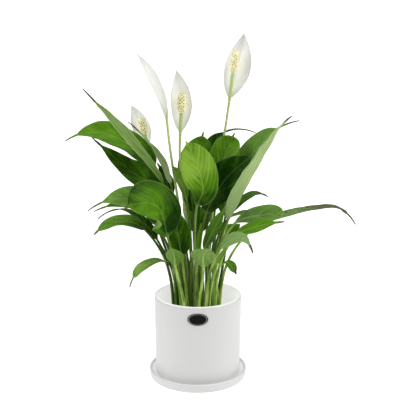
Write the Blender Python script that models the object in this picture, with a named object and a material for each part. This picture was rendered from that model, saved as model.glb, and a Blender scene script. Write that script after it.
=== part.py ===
"""Potted peace lily in a white glazed pot on its saucer, in metres, +Z up.

The origin is the centre of the saucer's flat underside. The plant's front, which carries
the pot's black sticker, faces -Y. Every leaf and bloom grows from its own place on a
sunflower spiral in the soil, rises upright out of a plain hole, leans to its neck and
then arches over its crest to its tip.
"""
import math

import bmesh
import bpy
import numpy as np

CM = 0.01
TOUCH_GAP = 0.0003

# Saucer
SAUCER_RIM_RADIUS = 0.0788
SAUCER_FOOT_RADIUS = 0.0775
SAUCER_HEIGHT = 0.0133
SAUCER_WALL = 0.0046
SAUCER_FLOOR = 0.0048
SAUCER_LIP = 0.0018

# Pot
POT_RIM_RADIUS = 0.0700
POT_BASE_RADIUS = 0.0680
POT_RIM_HEIGHT = 0.1370
POT_WALL = 0.0065
POT_FLOOR = 0.0070
POT_FOOT_WIDTH = 0.0090
POT_FOOT_LIFT = 0.0015
POT_CORNER = 0.0022
POT_DRAIN_RADIUS = 0.0060
ROUND_SEGMENTS = 38

# Sticker on the pot's front
LABEL_WIDTH = 0.0320
LABEL_HEIGHT = 0.0195
LABEL_THICKNESS = 0.0006
LABEL_CENTRE_HEIGHT = 0.1177
LABEL_RINGS = 2
LABEL_SIDES = 24

# Soil, and the holes that the stems stand in
SOIL_TOP = 0.0880
SOIL_DOME = 0.0030
SOIL_FLAT_RADIUS = 0.0520
STEM_DEPTH = 0.0160
STEM_CLEAR = 0.0010
STEM_UPRIGHT = 1.4
HOLE_SIDES = 6
STEM_PLACES = 54
STEM_SPREAD = 0.0405
GOLDEN_ANGLE = math.pi * (3.0 - math.sqrt(5.0))

# Leaves
LEAF_THICKNESS = 0.0008
BLADE_COLUMNS = (-1.0, -0.55, 0.0, 0.55, 1.0)
LEAF_FULLNESS = 1.55
LEAF_TIP_WIDTH = 0.0016
DRIP_WIDTH = 0.0042
CUP_POWER = 1.35
CUP_SINK = 0.45
WAVE_HEIGHT = 0.09
PETIOLE_FOOT_RADIUS = 0.0029
PETIOLE_NECK_RADIUS = 0.0018
PETIOLE_STEPS = 3
BLADE_SHARES = (0.0, 0.07, 0.18, 0.34, 0.50, 0.66, 0.82, 1.0)

# Blooms
STALK_FOOT_RADIUS = 0.0029
STALK_TOP_RADIUS = 0.0025
STALK_SIDES = 8
STALK_STEPS = 5
SPATHE_THICKNESS = 0.0008
SPATHE_FULLNESS = 1.85
SPATHE_WIDEST = 0.46
SPATHE_STEPS = 9
SPADIX_SIDES = 12
SPADIX_RINGS = 12
SPADIX_BLUNTNESS = 3.0
SPADIX_END_SHARE = 0.35
FLORET_RELIEF = 0.0007

# Colours, each with its roughness
WHITE_GLAZE = ((0.86, 0.86, 0.85), 0.16)
BLACK_LABEL = ((0.012, 0.012, 0.013), 0.30)
DARK_SOIL = ((0.045, 0.028, 0.018), 0.95)
LEAF_GREEN = ((0.045, 0.165, 0.022), 0.42)
STALK_GREEN = ((0.36, 0.55, 0.17), 0.45)
SPATHE_WHITE = ((0.88, 0.90, 0.84), 0.50)
SPADIX_CREAM = ((0.80, 0.74, 0.46), 0.70)

# Each leaf: name, place on the spiral, neck, crest and tip (x, y, z in cm), width in cm and
# the share of its length where it is widest, the way that its upper face looks, the cupping
# of its halves in degrees, the number of waves along its edges and the share of the blade
# that is its thin drip tip
LEAVES = (
    ("left_spear", 12, (-5.0, -1.5, 31.2), (-10.8, -3.0, 39.4), (-17.0, -4.0, 46.7),
     3.2, 0.55, (0.5, 0.45, 0.6), 30, 1.5, 0.14),
    ("left_broad", 38, (-6.6, 0.6, 33.8), (-14.2, 1.2, 39.5), (-20.6, 0.5, 38.3),
     5.3, 0.48, (0.1, -0.55, 0.8), 14, 2.0, 0.12),
    ("left_dark", 17, (-5.6, 2.1, 29.2), (-11.9, 1.2, 34.6), (-16.4, 0.5, 38.8),
     4.9, 0.31, (0.4, -0.7, 0.6), 12, 1.5, 0.1),
    ("left_back", 14, (-4.2, 2.8, 30.6), (-6.4, 3.2, 35.9), (-11.0, 3.2, 41.0),
     3.2, 0.46, (0.75, 0.25, 0.55), 28, 1.0, 0.36),
    ("left_big", 33, (-4.6, -3.4, 23.7), (-6.0, -6.0, 29.6), (-10.7, -9.5, 29.7),
     8.0, 0.56, (0.35, -0.75, 0.7), 14, 1.5, 0.06),
    ("left_mid", 25, (-5.9, -2.0, 26.9), (-10.9, -4.0, 30.2), (-16.7, -4.5, 28.3),
     6.1, 0.3, (0.1, -0.55, 0.8), 12, 2.0, 0.18),
    ("left_under", 46, (-7.5, -0.8, 26.5), (-11.8, -1.4, 28.5), (-16.2, -1.5, 27.5),
     3.0, 0.48, (0.0, -0.2, 1.0), 15, 1.5, 0.2),
    ("left_low", 51, (-8.2, 0.2, 24.0), (-12.2, 0.5, 25.6), (-16.5, 0.0, 23.4),
     3.0, 0.52, (0.0, -0.45, 0.9), 10, 1.5, 0.09),
    ("left_low_back", 30, (-6.5, 3.0, 21.6), (-11.7, 4.0, 26.5), (-16.4, 4.5, 24.9),
     2.1, 0.42, (0.0, -0.3, 1.0), 15, 1.0, 0.28),
    ("left_small", 35, (-5.3, 3.8, 17.8), (-9.1, 3.8, 17.0), (-11.3, 3.8, 13.5),
     2.2, 0.7, (-0.2, -0.5, 0.8), 12, 1.0, 0.23),
    ("left_inner", 20, (-2.5, -1.6, 20.0), (-3.1, -1.8, 24.3), (-4.0, -1.6, 28.6),
     4.0, 0.48, (0.3, -0.9, 0.3), 15, 1.0, 0.08),
    ("centre_front", 2, (-0.2, -1.6, 28.1), (0.8, -2.6, 31.6), (-1.9, 1.6, 38.1),
     5.6, 0.54, (0.0, -1.0, 0.25), 12, 1.5, 0.04),
    ("centre_left", 4, (-1.7, 0.4, 28.5), (-2.5, 0.4, 31.6), (-4.0, 0.6, 34.4),
     1.8, 0.64, (0.3, -0.8, 0.5), 20, 1.0, 0.04),
    ("centre_back", 6, (-1.4, 3.7, 28.5), (0.3, 4.8, 36.5), (0.9, 5.9, 39.1),
     5.9, 0.56, (0.0, -0.9, 0.5), 15, 1.5, 0.07),
    ("top_arch", 32, (1.1, 5.8, 32.7), (4.0, 8.0, 38.5), (9.6, 9.2, 38.5),
     3.0, 0.46, (0.3, -0.45, 0.8), 20, 1.0, 0.43),
    ("top_front", 8, (2.2, 2.2, 30.1), (4.6, 3.2, 36.6), (5.9, 4.2, 39.1),
     4.8, 0.72, (-0.4, -0.9, 0.4), 14, 1.5, 0.07),
    ("centre_dark", 0, (1.2, 0.2, 26.5), (4.2, 0.2, 32.3), (8.5, 1.4, 35.7),
     6.0, 0.51, (-0.5, -0.85, 0.4), 10, 1.5, 0.02),
    ("right_back", 16, (4.8, 2.8, 29.2), (10.5, 3.2, 38.3), (16.0, 3.0, 41.2),
     5.1, 0.55, (-0.5, -0.6, 0.6), 16, 2.0, 0.22),
    ("right_spear", 13, (4.6, -1.2, 25.7), (11.4, -3.0, 39.5), (14.3, -1.4, 42.4),
     4.1, 0.37, (-0.5, 0.45, 0.6), 28, 1.5, 0.09),
    ("right_thin", 21, (5.1, 1.4, 26.2), (8.6, 2.2, 29.5), (11.3, 2.6, 29.0),
     2.1, 0.5, (0.0, -0.3, 1.0), 12, 1.0, 0.12),
    ("right_thin_back", 29, (4.9, 3.9, 25.1), (7.0, 3.8, 26.1), (9.6, 4.4, 26.3),
     1.5, 0.48, (0.0, -0.2, 1.0), 10, 1.0, 0.15),
    ("right_broad", 26, (5.6, -3.4, 26.0), (10.2, -3.2, 27.5), (13.7, -3.4, 27.8),
     3.3, 0.66, (0.1, -0.7, 0.7), 8, 2.0, 0.07),
    ("right_under", 39, (5.7, -4.6, 24.4), (8.8, -6.0, 26.2), (12.9, -7.0, 27.2),
     2.2, 0.46, (0.0, -0.6, 0.75), 8, 1.5, 0.13),
    ("right_long", 42, (7.7, 0.8, 23.1), (20.7, 0.0, 28.0), (25.0, 0.5, 25.0),
     2.9, 0.76, (0.0, -0.1, 1.0), 6, 2.0, 0.07),
    ("right_low", 44, (3.5, -5.4, 22.6), (6.5, -8.0, 25.0), (8.1, -9.6, 23.1),
     2.1, 0.42, (-0.2, -0.7, 0.6), 10, 1.5, 0.14),
    ("right_small", 47, (4.3, -2.4, 19.6), (5.1, -2.8, 19.3), (6.0, -3.0, 17.8),
     1.7, 0.5, (0.1, -0.6, 0.8), 14, 0.5, 0.1),
    ("left_inner_back", 27, (-4.3, 4.2, 28.8), (-5.6, 4.6, 32.4), (-6.6, 4.6, 34.2),
     2.4, 0.45, (0.3, -0.7, 0.4), 14, 1.0, 0.08),
    ("centre_shade", 3, (-0.7, 1.6, 26.6), (-1.1, 1.6, 29.4), (-1.5, 1.4, 32.5),
     2.5, 0.5, (0.0, -0.95, 0.2), 14, 1.0, 0.05),
    ("shoot_centre", 15, (-0.0, -3.2, 21.5), (0.2, -3.2, 23.7), (0.5, -3.0, 26.0),
     1.0, 0.45, (0.2, -0.9, 0.2), 30, 0.5, 0.1),
    ("shoot_right_low", 31, (3.0, -4.2, 19.8), (3.9, -4.6, 21.7), (4.9, -5.0, 23.2),
     1.0, 0.45, (-0.3, -0.8, 0.3), 30, 0.5, 0.1),
    ("front_left", 41, (-3.4, -4.6, 19.6), (-3.5, -7.0, 21.9), (-3.9, -9.5, 23.8),
     2.8, 0.48, (0.0, 0.6, 0.8), 14, 0.5, 0.04),
    ("front_centre", 36, (0.9, -5.2, 19.5), (0.8, -8.0, 22.2), (1.4, -11.0, 24.1),
     3.8, 0.48, (0.0, 0.6, 0.8), 14, 0.5, 0.04),
    ("centre_low", 5, (1.0, -1.6, 21.3), (2.4, -1.8, 24.6), (4.2, -2.4, 28.4),
     2.0, 0.48, (-0.2, -0.9, 0.3), 15, 1.0, 0.06),
    ("rear_top", 45, (3.2, 6.4, 28.5), (5.0, 10.5, 34.8), (5.8, 15.0, 32.2),
     4.8, 0.48, (0.0, 0.2, 1.0), 14, 1.5, 0.1),
    ("rear_left", 48, (-5.2, 5.2, 25.5), (-7.0, 9.5, 30.0), (-8.8, 13.5, 27.5),
     4.4, 0.48, (0.0, 0.2, 1.0), 14, 1.5, 0.1),
    ("rear_centre", 19, (-0.8, 6.2, 27.0), (-0.5, 11.0, 32.0), (-0.4, 16.0, 28.5),
     6.0, 0.48, (0.0, 0.2, 1.0), 12, 1.5, 0.1),
    ("rear_right", 37, (4.5, 5.5, 25.0), (5.8, 10.0, 29.5), (7.0, 14.0, 26.5),
     5.0, 0.48, (0.1, 0.2, 1.0), 14, 1.5, 0.1),
    ("rear_outer_left", 43, (-6.6, 4.6, 23.5), (-8.9, 7.7, 27.0), (-10.8, 10.5, 25.5),
     4.0, 0.48, (-0.1, 0.2, 1.0), 14, 1.5, 0.1),
    ("rear_low", 53, (0.0, 6.5, 21.5), (0.0, 11.5, 25.5), (-0.5, 16.5, 21.5),
     5.5, 0.48, (0.0, 0.3, 1.0), 12, 1.5, 0.1),
    ("rear_low_right", 50, (4.6, 5.0, 20.0), (5.2, 9.3, 23.0), (5.8, 13.0, 19.5),
     4.2, 0.48, (0.1, 0.3, 1.0), 14, 1.5, 0.1),
    ("rear_low_left", 40, (-2.0, 6.0, 19.0), (-3.6, 9.5, 22.0), (-4.6, 13.0, 18.5),
     4.2, 0.48, (-0.1, 0.3, 1.0), 14, 1.5, 0.1),
)

# Each bloom: name, place on the spiral, the stalk's neck where the spathe sits, its top
# under the spadix and the spadix's tip (x, y, z in cm), the spadix's radius in cm, the
# spathe's middle and tip in cm, its width in cm, the way it looks and its cupping
BLOOMS = (
    ("bloom_high", 24, (5.1, 6.6, 44.3), (5.6, 6.4, 48.4), (6.1, 6.4, 52.2), 0.62,
     (6.5, 7.5, 49.4), (7.4, 8.0, 54.7), 4.4, (-0.1, -1.0, 0.1), 16),
    ("bloom_centre", 1, (-2.8, 3.2, 39.2), (-2.6, 2.9, 42.4), (-2.4, 2.9, 45.8), 0.72,
     (-2.6, 4.1, 43.9), (-3.4, 4.8, 49.0), 3.5, (0.0, -1.0, 0.1), 16),
    ("bloom_side", 9, (-4.9, 2.4, 42.0), (-5.0, 2.5, 43.3), (-5.8, 3.0, 46.3), 0.5,
     (-6.8, 1.5, 46.9), (-9.3, 1.8, 51.6), 3.7, (0.85, 0.5, 0.1), 20),
    ("bloom_low", 22, (-8.1, 5.0, 36.7), (-8.5, 4.6, 38.8), (-9.1, 4.6, 41.6), 0.66,
     (-9.4, 5.8, 40.4), (-10.7, 6.2, 43.3), 3.0, (0.2, -1.0, 0.2), 16),
)


def clear_scene():
    """Remove every object that the file starts with."""
    for item in list(bpy.data.objects):
        bpy.data.objects.remove(item, do_unlink=True)


def finish(name, look):
    """A Principled material with the colour and roughness of one finish."""
    colour, roughness = look
    skin = bpy.data.materials.new(name)
    skin.use_nodes = True
    shader = skin.node_tree.nodes["Principled BSDF"]
    shader.inputs["Base Color"].default_value = (*colour, 1.0)
    shader.inputs["Roughness"].default_value = roughness
    skin.diffuse_color = (*colour, 1.0)
    return skin


def add_solid(name, points, faces, look):
    """One named object from points and outward faces."""
    mesh = bpy.data.meshes.new(name)
    mesh.from_pydata([tuple(point) for point in points], [], faces)
    mesh.materials.append(finish(name + "_finish", look))
    mesh.shade_smooth()
    mesh.set_sharp_from_angle(angle=math.radians(35.0))
    solid = bpy.data.objects.new(name, mesh)
    bpy.context.collection.objects.link(solid)
    return solid


def corner(centre, radius, start, end, steps=4):
    """Points of a round corner in a profile, from one angle in degrees to another."""
    angles = np.radians(np.linspace(start, end, steps))
    return [(centre[0] + radius * math.cos(a), centre[1] + radius * math.sin(a))
            for a in angles]


def turned(name, profile, look, ring=False):
    """Turn a profile of (radius, height) points that has its material on the left.

    A ring's profile is closed on itself. Any other one is closed by two flat faces.
    """
    angles = np.arange(ROUND_SEGMENTS) * (2.0 * math.pi / ROUND_SEGMENTS)
    points = []
    for radius, height in profile:
        points += [(radius * math.cos(a), radius * math.sin(a), height) for a in angles]
    faces = []
    for index in range(len(profile) if ring else len(profile) - 1):
        low = index * ROUND_SEGMENTS
        high = (index + 1) % len(profile) * ROUND_SEGMENTS
        for side in range(ROUND_SEGMENTS):
            step = (side + 1) % ROUND_SEGMENTS
            faces.append((low + side, low + step, high + step, high + side))
    if not ring:
        faces.append(tuple(range(ROUND_SEGMENTS))[::-1])
        faces.append(tuple(range(len(points) - ROUND_SEGMENTS, len(points))))
    return add_solid(name, points, faces, look)


def saucer():
    """A shallow dish with a flat underside and a rounded lip."""
    inner = SAUCER_RIM_RADIUS - SAUCER_WALL
    lip = SAUCER_LIP
    profile = corner((SAUCER_FOOT_RADIUS - lip, lip), lip, -90.0, 0.0)
    profile += corner((SAUCER_RIM_RADIUS - lip, SAUCER_HEIGHT - lip), lip, 0.0, 90.0)
    profile += corner((inner + lip, SAUCER_HEIGHT - lip), lip, 90.0, 180.0)
    profile += corner((inner - lip, SAUCER_FLOOR + lip), lip, 0.0, -90.0, 3)
    return turned("saucer", profile, WHITE_GLAZE)


def pot_radius(height):
    """The pot's outer radius at a height: a slight straight taper."""
    base = SAUCER_FLOOR + TOUCH_GAP
    share = (height - base) / (POT_RIM_HEIGHT - base)
    return POT_BASE_RADIUS + (POT_RIM_RADIUS - POT_BASE_RADIUS) * share


def pot():
    """The pot: a thick tapered wall with a rounded rim, a foot ring and a drain hole."""
    base = SAUCER_FLOOR + TOUCH_GAP
    floor = base + POT_FLOOR
    lip = POT_WALL / 2.0
    round_off = POT_CORNER
    foot = POT_BASE_RADIUS - POT_FOOT_WIDTH
    inner = pot_radius(floor) - POT_WALL
    profile = [(POT_DRAIN_RADIUS, base + POT_FOOT_LIFT), (foot, base + POT_FOOT_LIFT),
               (foot + POT_FOOT_LIFT, base)]
    profile += corner((POT_BASE_RADIUS - round_off, base + round_off), round_off, -90.0, 0.0)
    profile += corner((POT_RIM_RADIUS - lip, POT_RIM_HEIGHT - lip), lip, 0.0, 180.0, 6)
    profile += corner((inner - round_off, floor + round_off), round_off, 0.0, -90.0, 3)
    profile.append((POT_DRAIN_RADIUS, floor))
    return turned("pot", profile, WHITE_GLAZE, ring=True)


def label():
    """The oval sticker, bent round the pot's front."""
    rings, sides = LABEL_RINGS, LABEL_SIDES
    points = []
    for lift in (TOUCH_GAP + LABEL_THICKNESS, TOUCH_GAP):
        for ring in range(rings + 1):
            for side in range(sides if ring else 1):
                turn = 2.0 * math.pi * side / sides
                across = LABEL_WIDTH / 2.0 * ring / rings * math.cos(turn)
                height = LABEL_CENTRE_HEIGHT + LABEL_HEIGHT / 2.0 * ring / rings * math.sin(turn)
                radius = pot_radius(height) + lift
                angle = across / pot_radius(height) - math.pi / 2.0
                points.append((radius * math.cos(angle), radius * math.sin(angle), height))
    per_face = len(points) // 2
    faces = []
    for side in range(sides):
        step = (side + 1) % sides
        faces.append((0, 1 + side, 1 + step))
        faces.append((per_face, per_face + 1 + step, per_face + 1 + side))
        for ring in range(rings - 1):
            inner, outer = 1 + ring * sides, 1 + (ring + 1) * sides
            faces.append((inner + side, outer + side, outer + step, inner + step))
            faces.append((per_face + inner + step, per_face + outer + step,
                          per_face + outer + side, per_face + inner + side))
        outer = 1 + (rings - 1) * sides
        faces.append((outer + side, per_face + outer + side,
                      per_face + outer + step, outer + step))
    return add_solid("label", points, faces, BLACK_LABEL)


def stem_place(index):
    """Where a stem leaves the soil: a sunflower spiral round the pot's axis."""
    radius = STEM_SPREAD * math.sqrt((index + 0.5) / STEM_PLACES)
    angle = index * GOLDEN_ANGLE
    return np.array([radius * math.cos(angle), radius * math.sin(angle)])


def soil(stem_radii):
    """The soil: it fills the pot to its level, with a plain hole for each stem."""
    floor = SAUCER_FLOOR + TOUCH_GAP + POT_FLOOR + TOUCH_GAP
    fit = POT_WALL + TOUCH_GAP
    bevel = POT_CORNER
    profile = [(pot_radius(floor) - fit - bevel, floor), (pot_radius(floor) - fit, floor + bevel),
               (pot_radius(SOIL_TOP) - fit, SOIL_TOP - SOIL_DOME), (SOIL_FLAT_RADIUS, SOIL_TOP)]
    ground = turned("soil", profile, DARK_SOIL)
    drills = bmesh.new()
    for index, radius in stem_radii.items():
        x, y = stem_place(index)
        reach = (radius + TOUCH_GAP) / math.cos(math.pi / HOLE_SIDES)
        depth = 2.0 * (STEM_DEPTH + TOUCH_GAP)
        made = bmesh.ops.create_cone(drills, cap_ends=True, segments=HOLE_SIDES,
                                     radius1=reach, radius2=reach, depth=depth)
        bmesh.ops.translate(drills, verts=made["verts"], vec=(x, y, SOIL_TOP))
    mesh = bpy.data.meshes.new("stem_holes")
    drills.to_mesh(mesh)
    drills.free()
    cutter = bpy.data.objects.new("stem_holes", mesh)
    cutter.hide_render = True
    cutter.display_type = "WIRE"
    bpy.context.collection.objects.link(cutter)
    holes = ground.modifiers.new("stem holes", "BOOLEAN")
    holes.operation = "DIFFERENCE"
    holes.solver = "EXACT"
    holes.object = cutter
    return ground


def unit(vectors):
    """Vectors at length one."""
    return vectors / np.linalg.norm(vectors, axis=-1, keepdims=True)


def arch(start, end, leave, arrive, shares):
    """Points and directions on a Hermite curve between two points."""
    chord = np.linalg.norm(end - start)
    t = np.asarray(shares, float)[:, None]
    leave, arrive = leave * chord, arrive * chord
    points = ((2 * t**3 - 3 * t**2 + 1) * start + (t**3 - 2 * t**2 + t) * leave
              + (3 * t**2 - 2 * t**3) * end + (t**3 - t**2) * arrive)
    slopes = ((6 * t**2 - 6 * t) * start + (3 * t**2 - 4 * t + 1) * leave
              + (6 * t - 6 * t**2) * end + (3 * t**2 - 2 * t) * arrive)
    return points, unit(slopes)


def blade_line(neck, crest, tip, leave, shares):
    """A blade's centreline: over the crest to the tip, as two arches that join."""
    over = unit(tip - neck)
    fall = unit(2.0 * unit(tip - crest) - over)
    rise_length = np.linalg.norm(crest - neck)
    split = rise_length / (rise_length + np.linalg.norm(tip - crest))
    shares = np.asarray(shares, float)
    first, second = shares[shares < split], shares[shares >= split]
    rise = arch(neck, crest, leave, over, first / split)
    drop = arch(crest, tip, over, fall, (second - split) / (1.0 - split))
    return np.vstack([rise[0], drop[0]]), np.vstack([rise[1], drop[1]])


def stem_ground(place):
    """The point just over the soil where a stem may start to lean."""
    return np.array([*stem_place(place), SOIL_TOP + STEM_CLEAR])


def rooted_line(place, neck, leave, steps):
    """A stem's centreline: straight up out of its hole, then leaning to its neck."""
    ground = stem_ground(place)
    up = np.array([0.0, 0.0, 1.0])
    foot = ground - up * (STEM_CLEAR + STEM_DEPTH)
    points, slopes = arch(ground, neck, STEM_UPRIGHT * up, leave, np.linspace(0.0, 1.0, steps + 1))
    return np.vstack([foot, points]), np.vstack([up, slopes])


def facing(slopes, looks):
    """The way that a blade's upper face looks: `looks`, made square to each slope."""
    return unit(looks - np.sum(looks * slopes, axis=1, keepdims=True) * slopes)


def carried_down(slopes, upper):
    """The same for a stem below its neck, without a twist between one slope and the next."""
    carried = []
    for slope in slopes[::-1]:
        upper = unit(upper - np.dot(upper, slope) * slope)
        carried.append(upper)
    return np.array(carried[::-1])


def oval(shares, fullness, widest):
    """A pointed oval's half width as a share of its widest, from its base to its tip."""
    base_power, tip_power = fullness * widest, fullness * (1.0 - widest)
    peak = widest**base_power * (1.0 - widest)**tip_power
    return shares**base_power * (1.0 - shares)**tip_power / peak


def blade_rings(points, slopes, upper, halves, cup, waves, thickness):
    """Closed rings of a thin leaf: five points on its upper face and five below."""
    columns = np.array(BLADE_COLUMNS)
    right = np.cross(slopes, upper)
    shares = np.linspace(0.0, 1.0, len(points))
    across = halves[:, None] * columns * math.cos(math.radians(cup))
    rise = halves[:, None] * math.sin(math.radians(cup)) * (np.abs(columns)**CUP_POWER - CUP_SINK)
    ripple = np.sin(2.0 * math.pi * waves * shares)[:, None] * np.sign(columns) * columns**2
    rise = rise + WAVE_HEIGHT * halves[:, None] * ripple
    middle = (points[:, None] + across[..., None] * right[:, None]
              + rise[..., None] * upper[:, None])
    offset = 0.5 * thickness * upper[:, None]
    return np.concatenate([middle + offset, (middle - offset)[:, ::-1]], axis=1)


def round_rings(points, slopes, upper, radii, sides):
    """Closed rings of a round stem, in the same order as a blade's rings."""
    turns = math.pi * (1.0 - (2.0 * np.arange(sides) + 1.0) / sides)
    right = np.cross(slopes, upper)
    return (points[:, None]
            + radii[:, None, None] * np.cos(turns)[None, :, None] * right[:, None]
            + radii[:, None, None] * np.sin(turns)[None, :, None] * upper[:, None])


def skin_rings(rings):
    """Points and faces of a solid over closed rings, the first and last ones filled.

    Each ring turns right-handed about the way that the rings follow each other. Upper
    and lower quads are split along the same diagonal, so a thin blade never crosses
    itself.
    """
    count, sides = rings.shape[:2]
    faces = []
    for ring in range(count - 1):
        low, high = ring * sides, (ring + 1) * sides
        for side in range(sides):
            step = (side + 1) % sides
            if side < sides // 2:
                faces.append((low + side, low + step, high + side))
                faces.append((low + step, high + step, high + side))
            else:
                faces.append((low + side, low + step, high + step))
                faces.append((low + side, high + step, high + side))
    last = (count - 1) * sides
    for side in range(sides // 2 - 1):
        mirror = sides - 1 - side
        faces.append((side, mirror, mirror - 1, side + 1))
        faces.append((last + side, last + side + 1, last + mirror - 1, last + mirror))
    return rings.reshape(-1, 3), faces


def leaf(name, place, neck, crest, tip, width, widest, looks, cup, waves, drip):
    """A whole leaf: its petiole from the soil, then its arched and cupped blade."""
    neck, crest, tip = (np.array(spot) * CM for spot in (neck, crest, tip))
    leave = unit(unit(neck - stem_ground(place)) + unit(crest - neck))
    stem, stem_slopes = rooted_line(place, neck, leave, PETIOLE_STEPS)
    body = np.array(BLADE_SHARES)
    shares = np.append((1.0 - drip) * body, [1.0 - 0.5 * drip, 1.0])
    blade, blade_slopes = blade_line(neck, crest, tip, leave, shares)
    blade_upper = facing(blade_slopes, np.array(looks))
    stem_upper = carried_down(stem_slopes, blade_upper[0])
    radii = np.linspace(PETIOLE_FOOT_RADIUS, PETIOLE_NECK_RADIUS, PETIOLE_STEPS + 1)
    radii = np.concatenate([radii[:1], radii])
    sides = 2 * len(BLADE_COLUMNS)
    stem_rings = round_rings(stem, stem_slopes, stem_upper, radii, sides)[:-1]
    halves = 0.5 * width * CM * oval(np.append(body, [1.0, 1.0]), LEAF_FULLNESS, widest)
    least = np.interp(shares, (0.0, 1.0 - drip, 1.0),
                      (PETIOLE_NECK_RADIUS, 0.5 * DRIP_WIDTH, 0.5 * LEAF_TIP_WIDTH))
    blade_solid = blade_rings(blade, blade_slopes, blade_upper, np.maximum(halves, least),
                              cup, waves, LEAF_THICKNESS)
    points, faces = skin_rings(np.concatenate([stem_rings, blade_solid]))
    return add_solid(name, points, faces, LEAF_GREEN)


def stalk(name, place, neck, top, end, looks):
    """A bloom's stalk, from the soil over its neck to its top, square to the spadix."""
    leave = unit(top - neck)
    stem, slopes = rooted_line(place, neck, leave, STALK_STEPS)
    points = np.vstack([stem, top])
    slopes = np.vstack([slopes, unit(end - top)])
    upper = carried_down(slopes, np.array(looks))
    radii = np.linspace(STALK_FOOT_RADIUS, STALK_TOP_RADIUS, STALK_STEPS + 1)
    radii = np.concatenate([radii[:1], radii, radii[-1:]])
    return add_solid(name, *skin_rings(round_rings(points, slopes, upper, radii, STALK_SIDES)),
                     STALK_GREEN)


def spathe(name, neck, top, middle, tip, width, looks, cup):
    """A bloom's white spathe: a pointed oval that stands behind the stalk and spadix."""
    looks = np.array(looks)
    along = unit(top - neck)
    behind = facing(along[None], looks)[0]
    sunk = CUP_SINK * STALK_TOP_RADIUS * math.sin(math.radians(cup))
    base = neck - behind * (STALK_TOP_RADIUS + TOUCH_GAP + 0.5 * SPATHE_THICKNESS - sunk)
    leave = unit(along + unit(middle - base))
    shares = np.linspace(0.0, 1.0, SPATHE_STEPS + 1)
    points, slopes = blade_line(base, middle, tip, leave, shares)
    upper = facing(slopes, looks)
    halves = 0.5 * width * oval(shares, SPATHE_FULLNESS, SPATHE_WIDEST)
    least = np.linspace(STALK_TOP_RADIUS, 0.5 * LEAF_TIP_WIDTH, len(shares))
    rings = blade_rings(points, slopes, upper, np.maximum(halves, least), cup, 0.0,
                        SPATHE_THICKNESS)
    return add_solid(name, *skin_rings(rings), SPATHE_WHITE)


def spadix(name, top, end, radius):
    """A bloom's spadix: a blunt spike whose florets stand out in a diamond pattern."""
    along = unit(end - top)
    upper = facing(along[None], np.array([0.0, -1.0, 0.0]))[0]
    right = np.cross(along, upper)
    foot = top + along * TOUCH_GAP
    length = np.linalg.norm(end - foot)
    swell = np.linspace(-1.0, 1.0, SPADIX_RINGS)
    radii = radius * (1.0 - np.abs(swell)**SPADIX_BLUNTNESS * (1.0 - SPADIX_END_SHARE))
    turns = math.pi * (1.0 - (2.0 * np.arange(SPADIX_SIDES) + 1.0) / SPADIX_SIDES)
    raised = (np.arange(SPADIX_RINGS)[:, None] + np.arange(SPADIX_SIDES)[None]) % 2
    reach = radii[:, None] + FLORET_RELIEF * (raised - 0.5)
    heights = foot + along * (0.5 * length * (swell[:, None] + 1.0))
    rings = (heights[:, None] + (reach * np.cos(turns))[..., None] * right
             + (reach * np.sin(turns))[..., None] * upper)
    return add_solid(name, *skin_rings(rings), SPADIX_CREAM)


def bloom(name, place, neck, top, end, radius, middle, tip, width, looks, cup):
    """One bloom as three solids: its stalk, its spathe and its spadix."""
    neck, top, end, middle, tip = (np.array(spot) * CM for spot in (neck, top, end, middle, tip))
    stalk(name + "_stalk", place, neck, top, end, looks)
    spathe(name + "_spathe", neck, top, middle, tip, width * CM, looks, cup)
    spadix(name + "_spadix", top, end, radius * CM)


def main():
    """Build the saucer, the pot, its sticker, every leaf, every bloom and the soil."""
    clear_scene()
    saucer()
    pot()
    label()
    for row in LEAVES:
        leaf(*row)
    for row in BLOOMS:
        bloom(*row)
    stems = {row[1]: PETIOLE_FOOT_RADIUS for row in LEAVES}
    stems.update({row[1]: STALK_FOOT_RADIUS for row in BLOOMS})
    soil(stems)


if __name__ == "__main__":
    main()
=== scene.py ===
"""The visual model of a potted peace lily in a white glazed pot on its saucer.

It is laid out as a Blender add-on: settings, one operator for each piece or group of
like pieces, one for the stage, and a panel. All lengths are in metres, in the frame of
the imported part: +Z is up, the plant's front faces -Y and the origin is the centre of
the saucer's flat underside.
"""
import math
from functools import partial

import bpy
import numpy as np
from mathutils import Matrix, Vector


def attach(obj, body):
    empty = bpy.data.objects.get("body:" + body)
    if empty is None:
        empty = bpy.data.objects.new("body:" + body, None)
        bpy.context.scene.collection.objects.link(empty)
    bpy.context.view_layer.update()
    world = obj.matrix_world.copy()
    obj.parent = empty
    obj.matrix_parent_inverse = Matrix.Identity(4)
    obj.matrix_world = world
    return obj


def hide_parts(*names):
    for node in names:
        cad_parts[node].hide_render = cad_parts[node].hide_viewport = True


bl_info = {
    "name": "Potted Peace Lily",
    "version": (1, 0, 0),
    "blender": (4, 5, 0),
    "location": "3D View > Sidebar > Peace Lily",
    "description": "Builds a potted peace lily with its leaves, blooms, pot and saucer",
    "category": "Add Mesh",
}

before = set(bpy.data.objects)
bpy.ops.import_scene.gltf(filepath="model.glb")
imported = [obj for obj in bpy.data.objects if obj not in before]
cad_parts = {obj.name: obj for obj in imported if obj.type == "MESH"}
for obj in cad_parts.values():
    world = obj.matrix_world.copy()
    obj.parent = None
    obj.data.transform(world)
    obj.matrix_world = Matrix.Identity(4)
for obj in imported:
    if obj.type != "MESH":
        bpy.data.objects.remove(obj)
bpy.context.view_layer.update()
BODY = "root"
CM = 0.01
TOUCH_GAP = 0.0003

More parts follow.
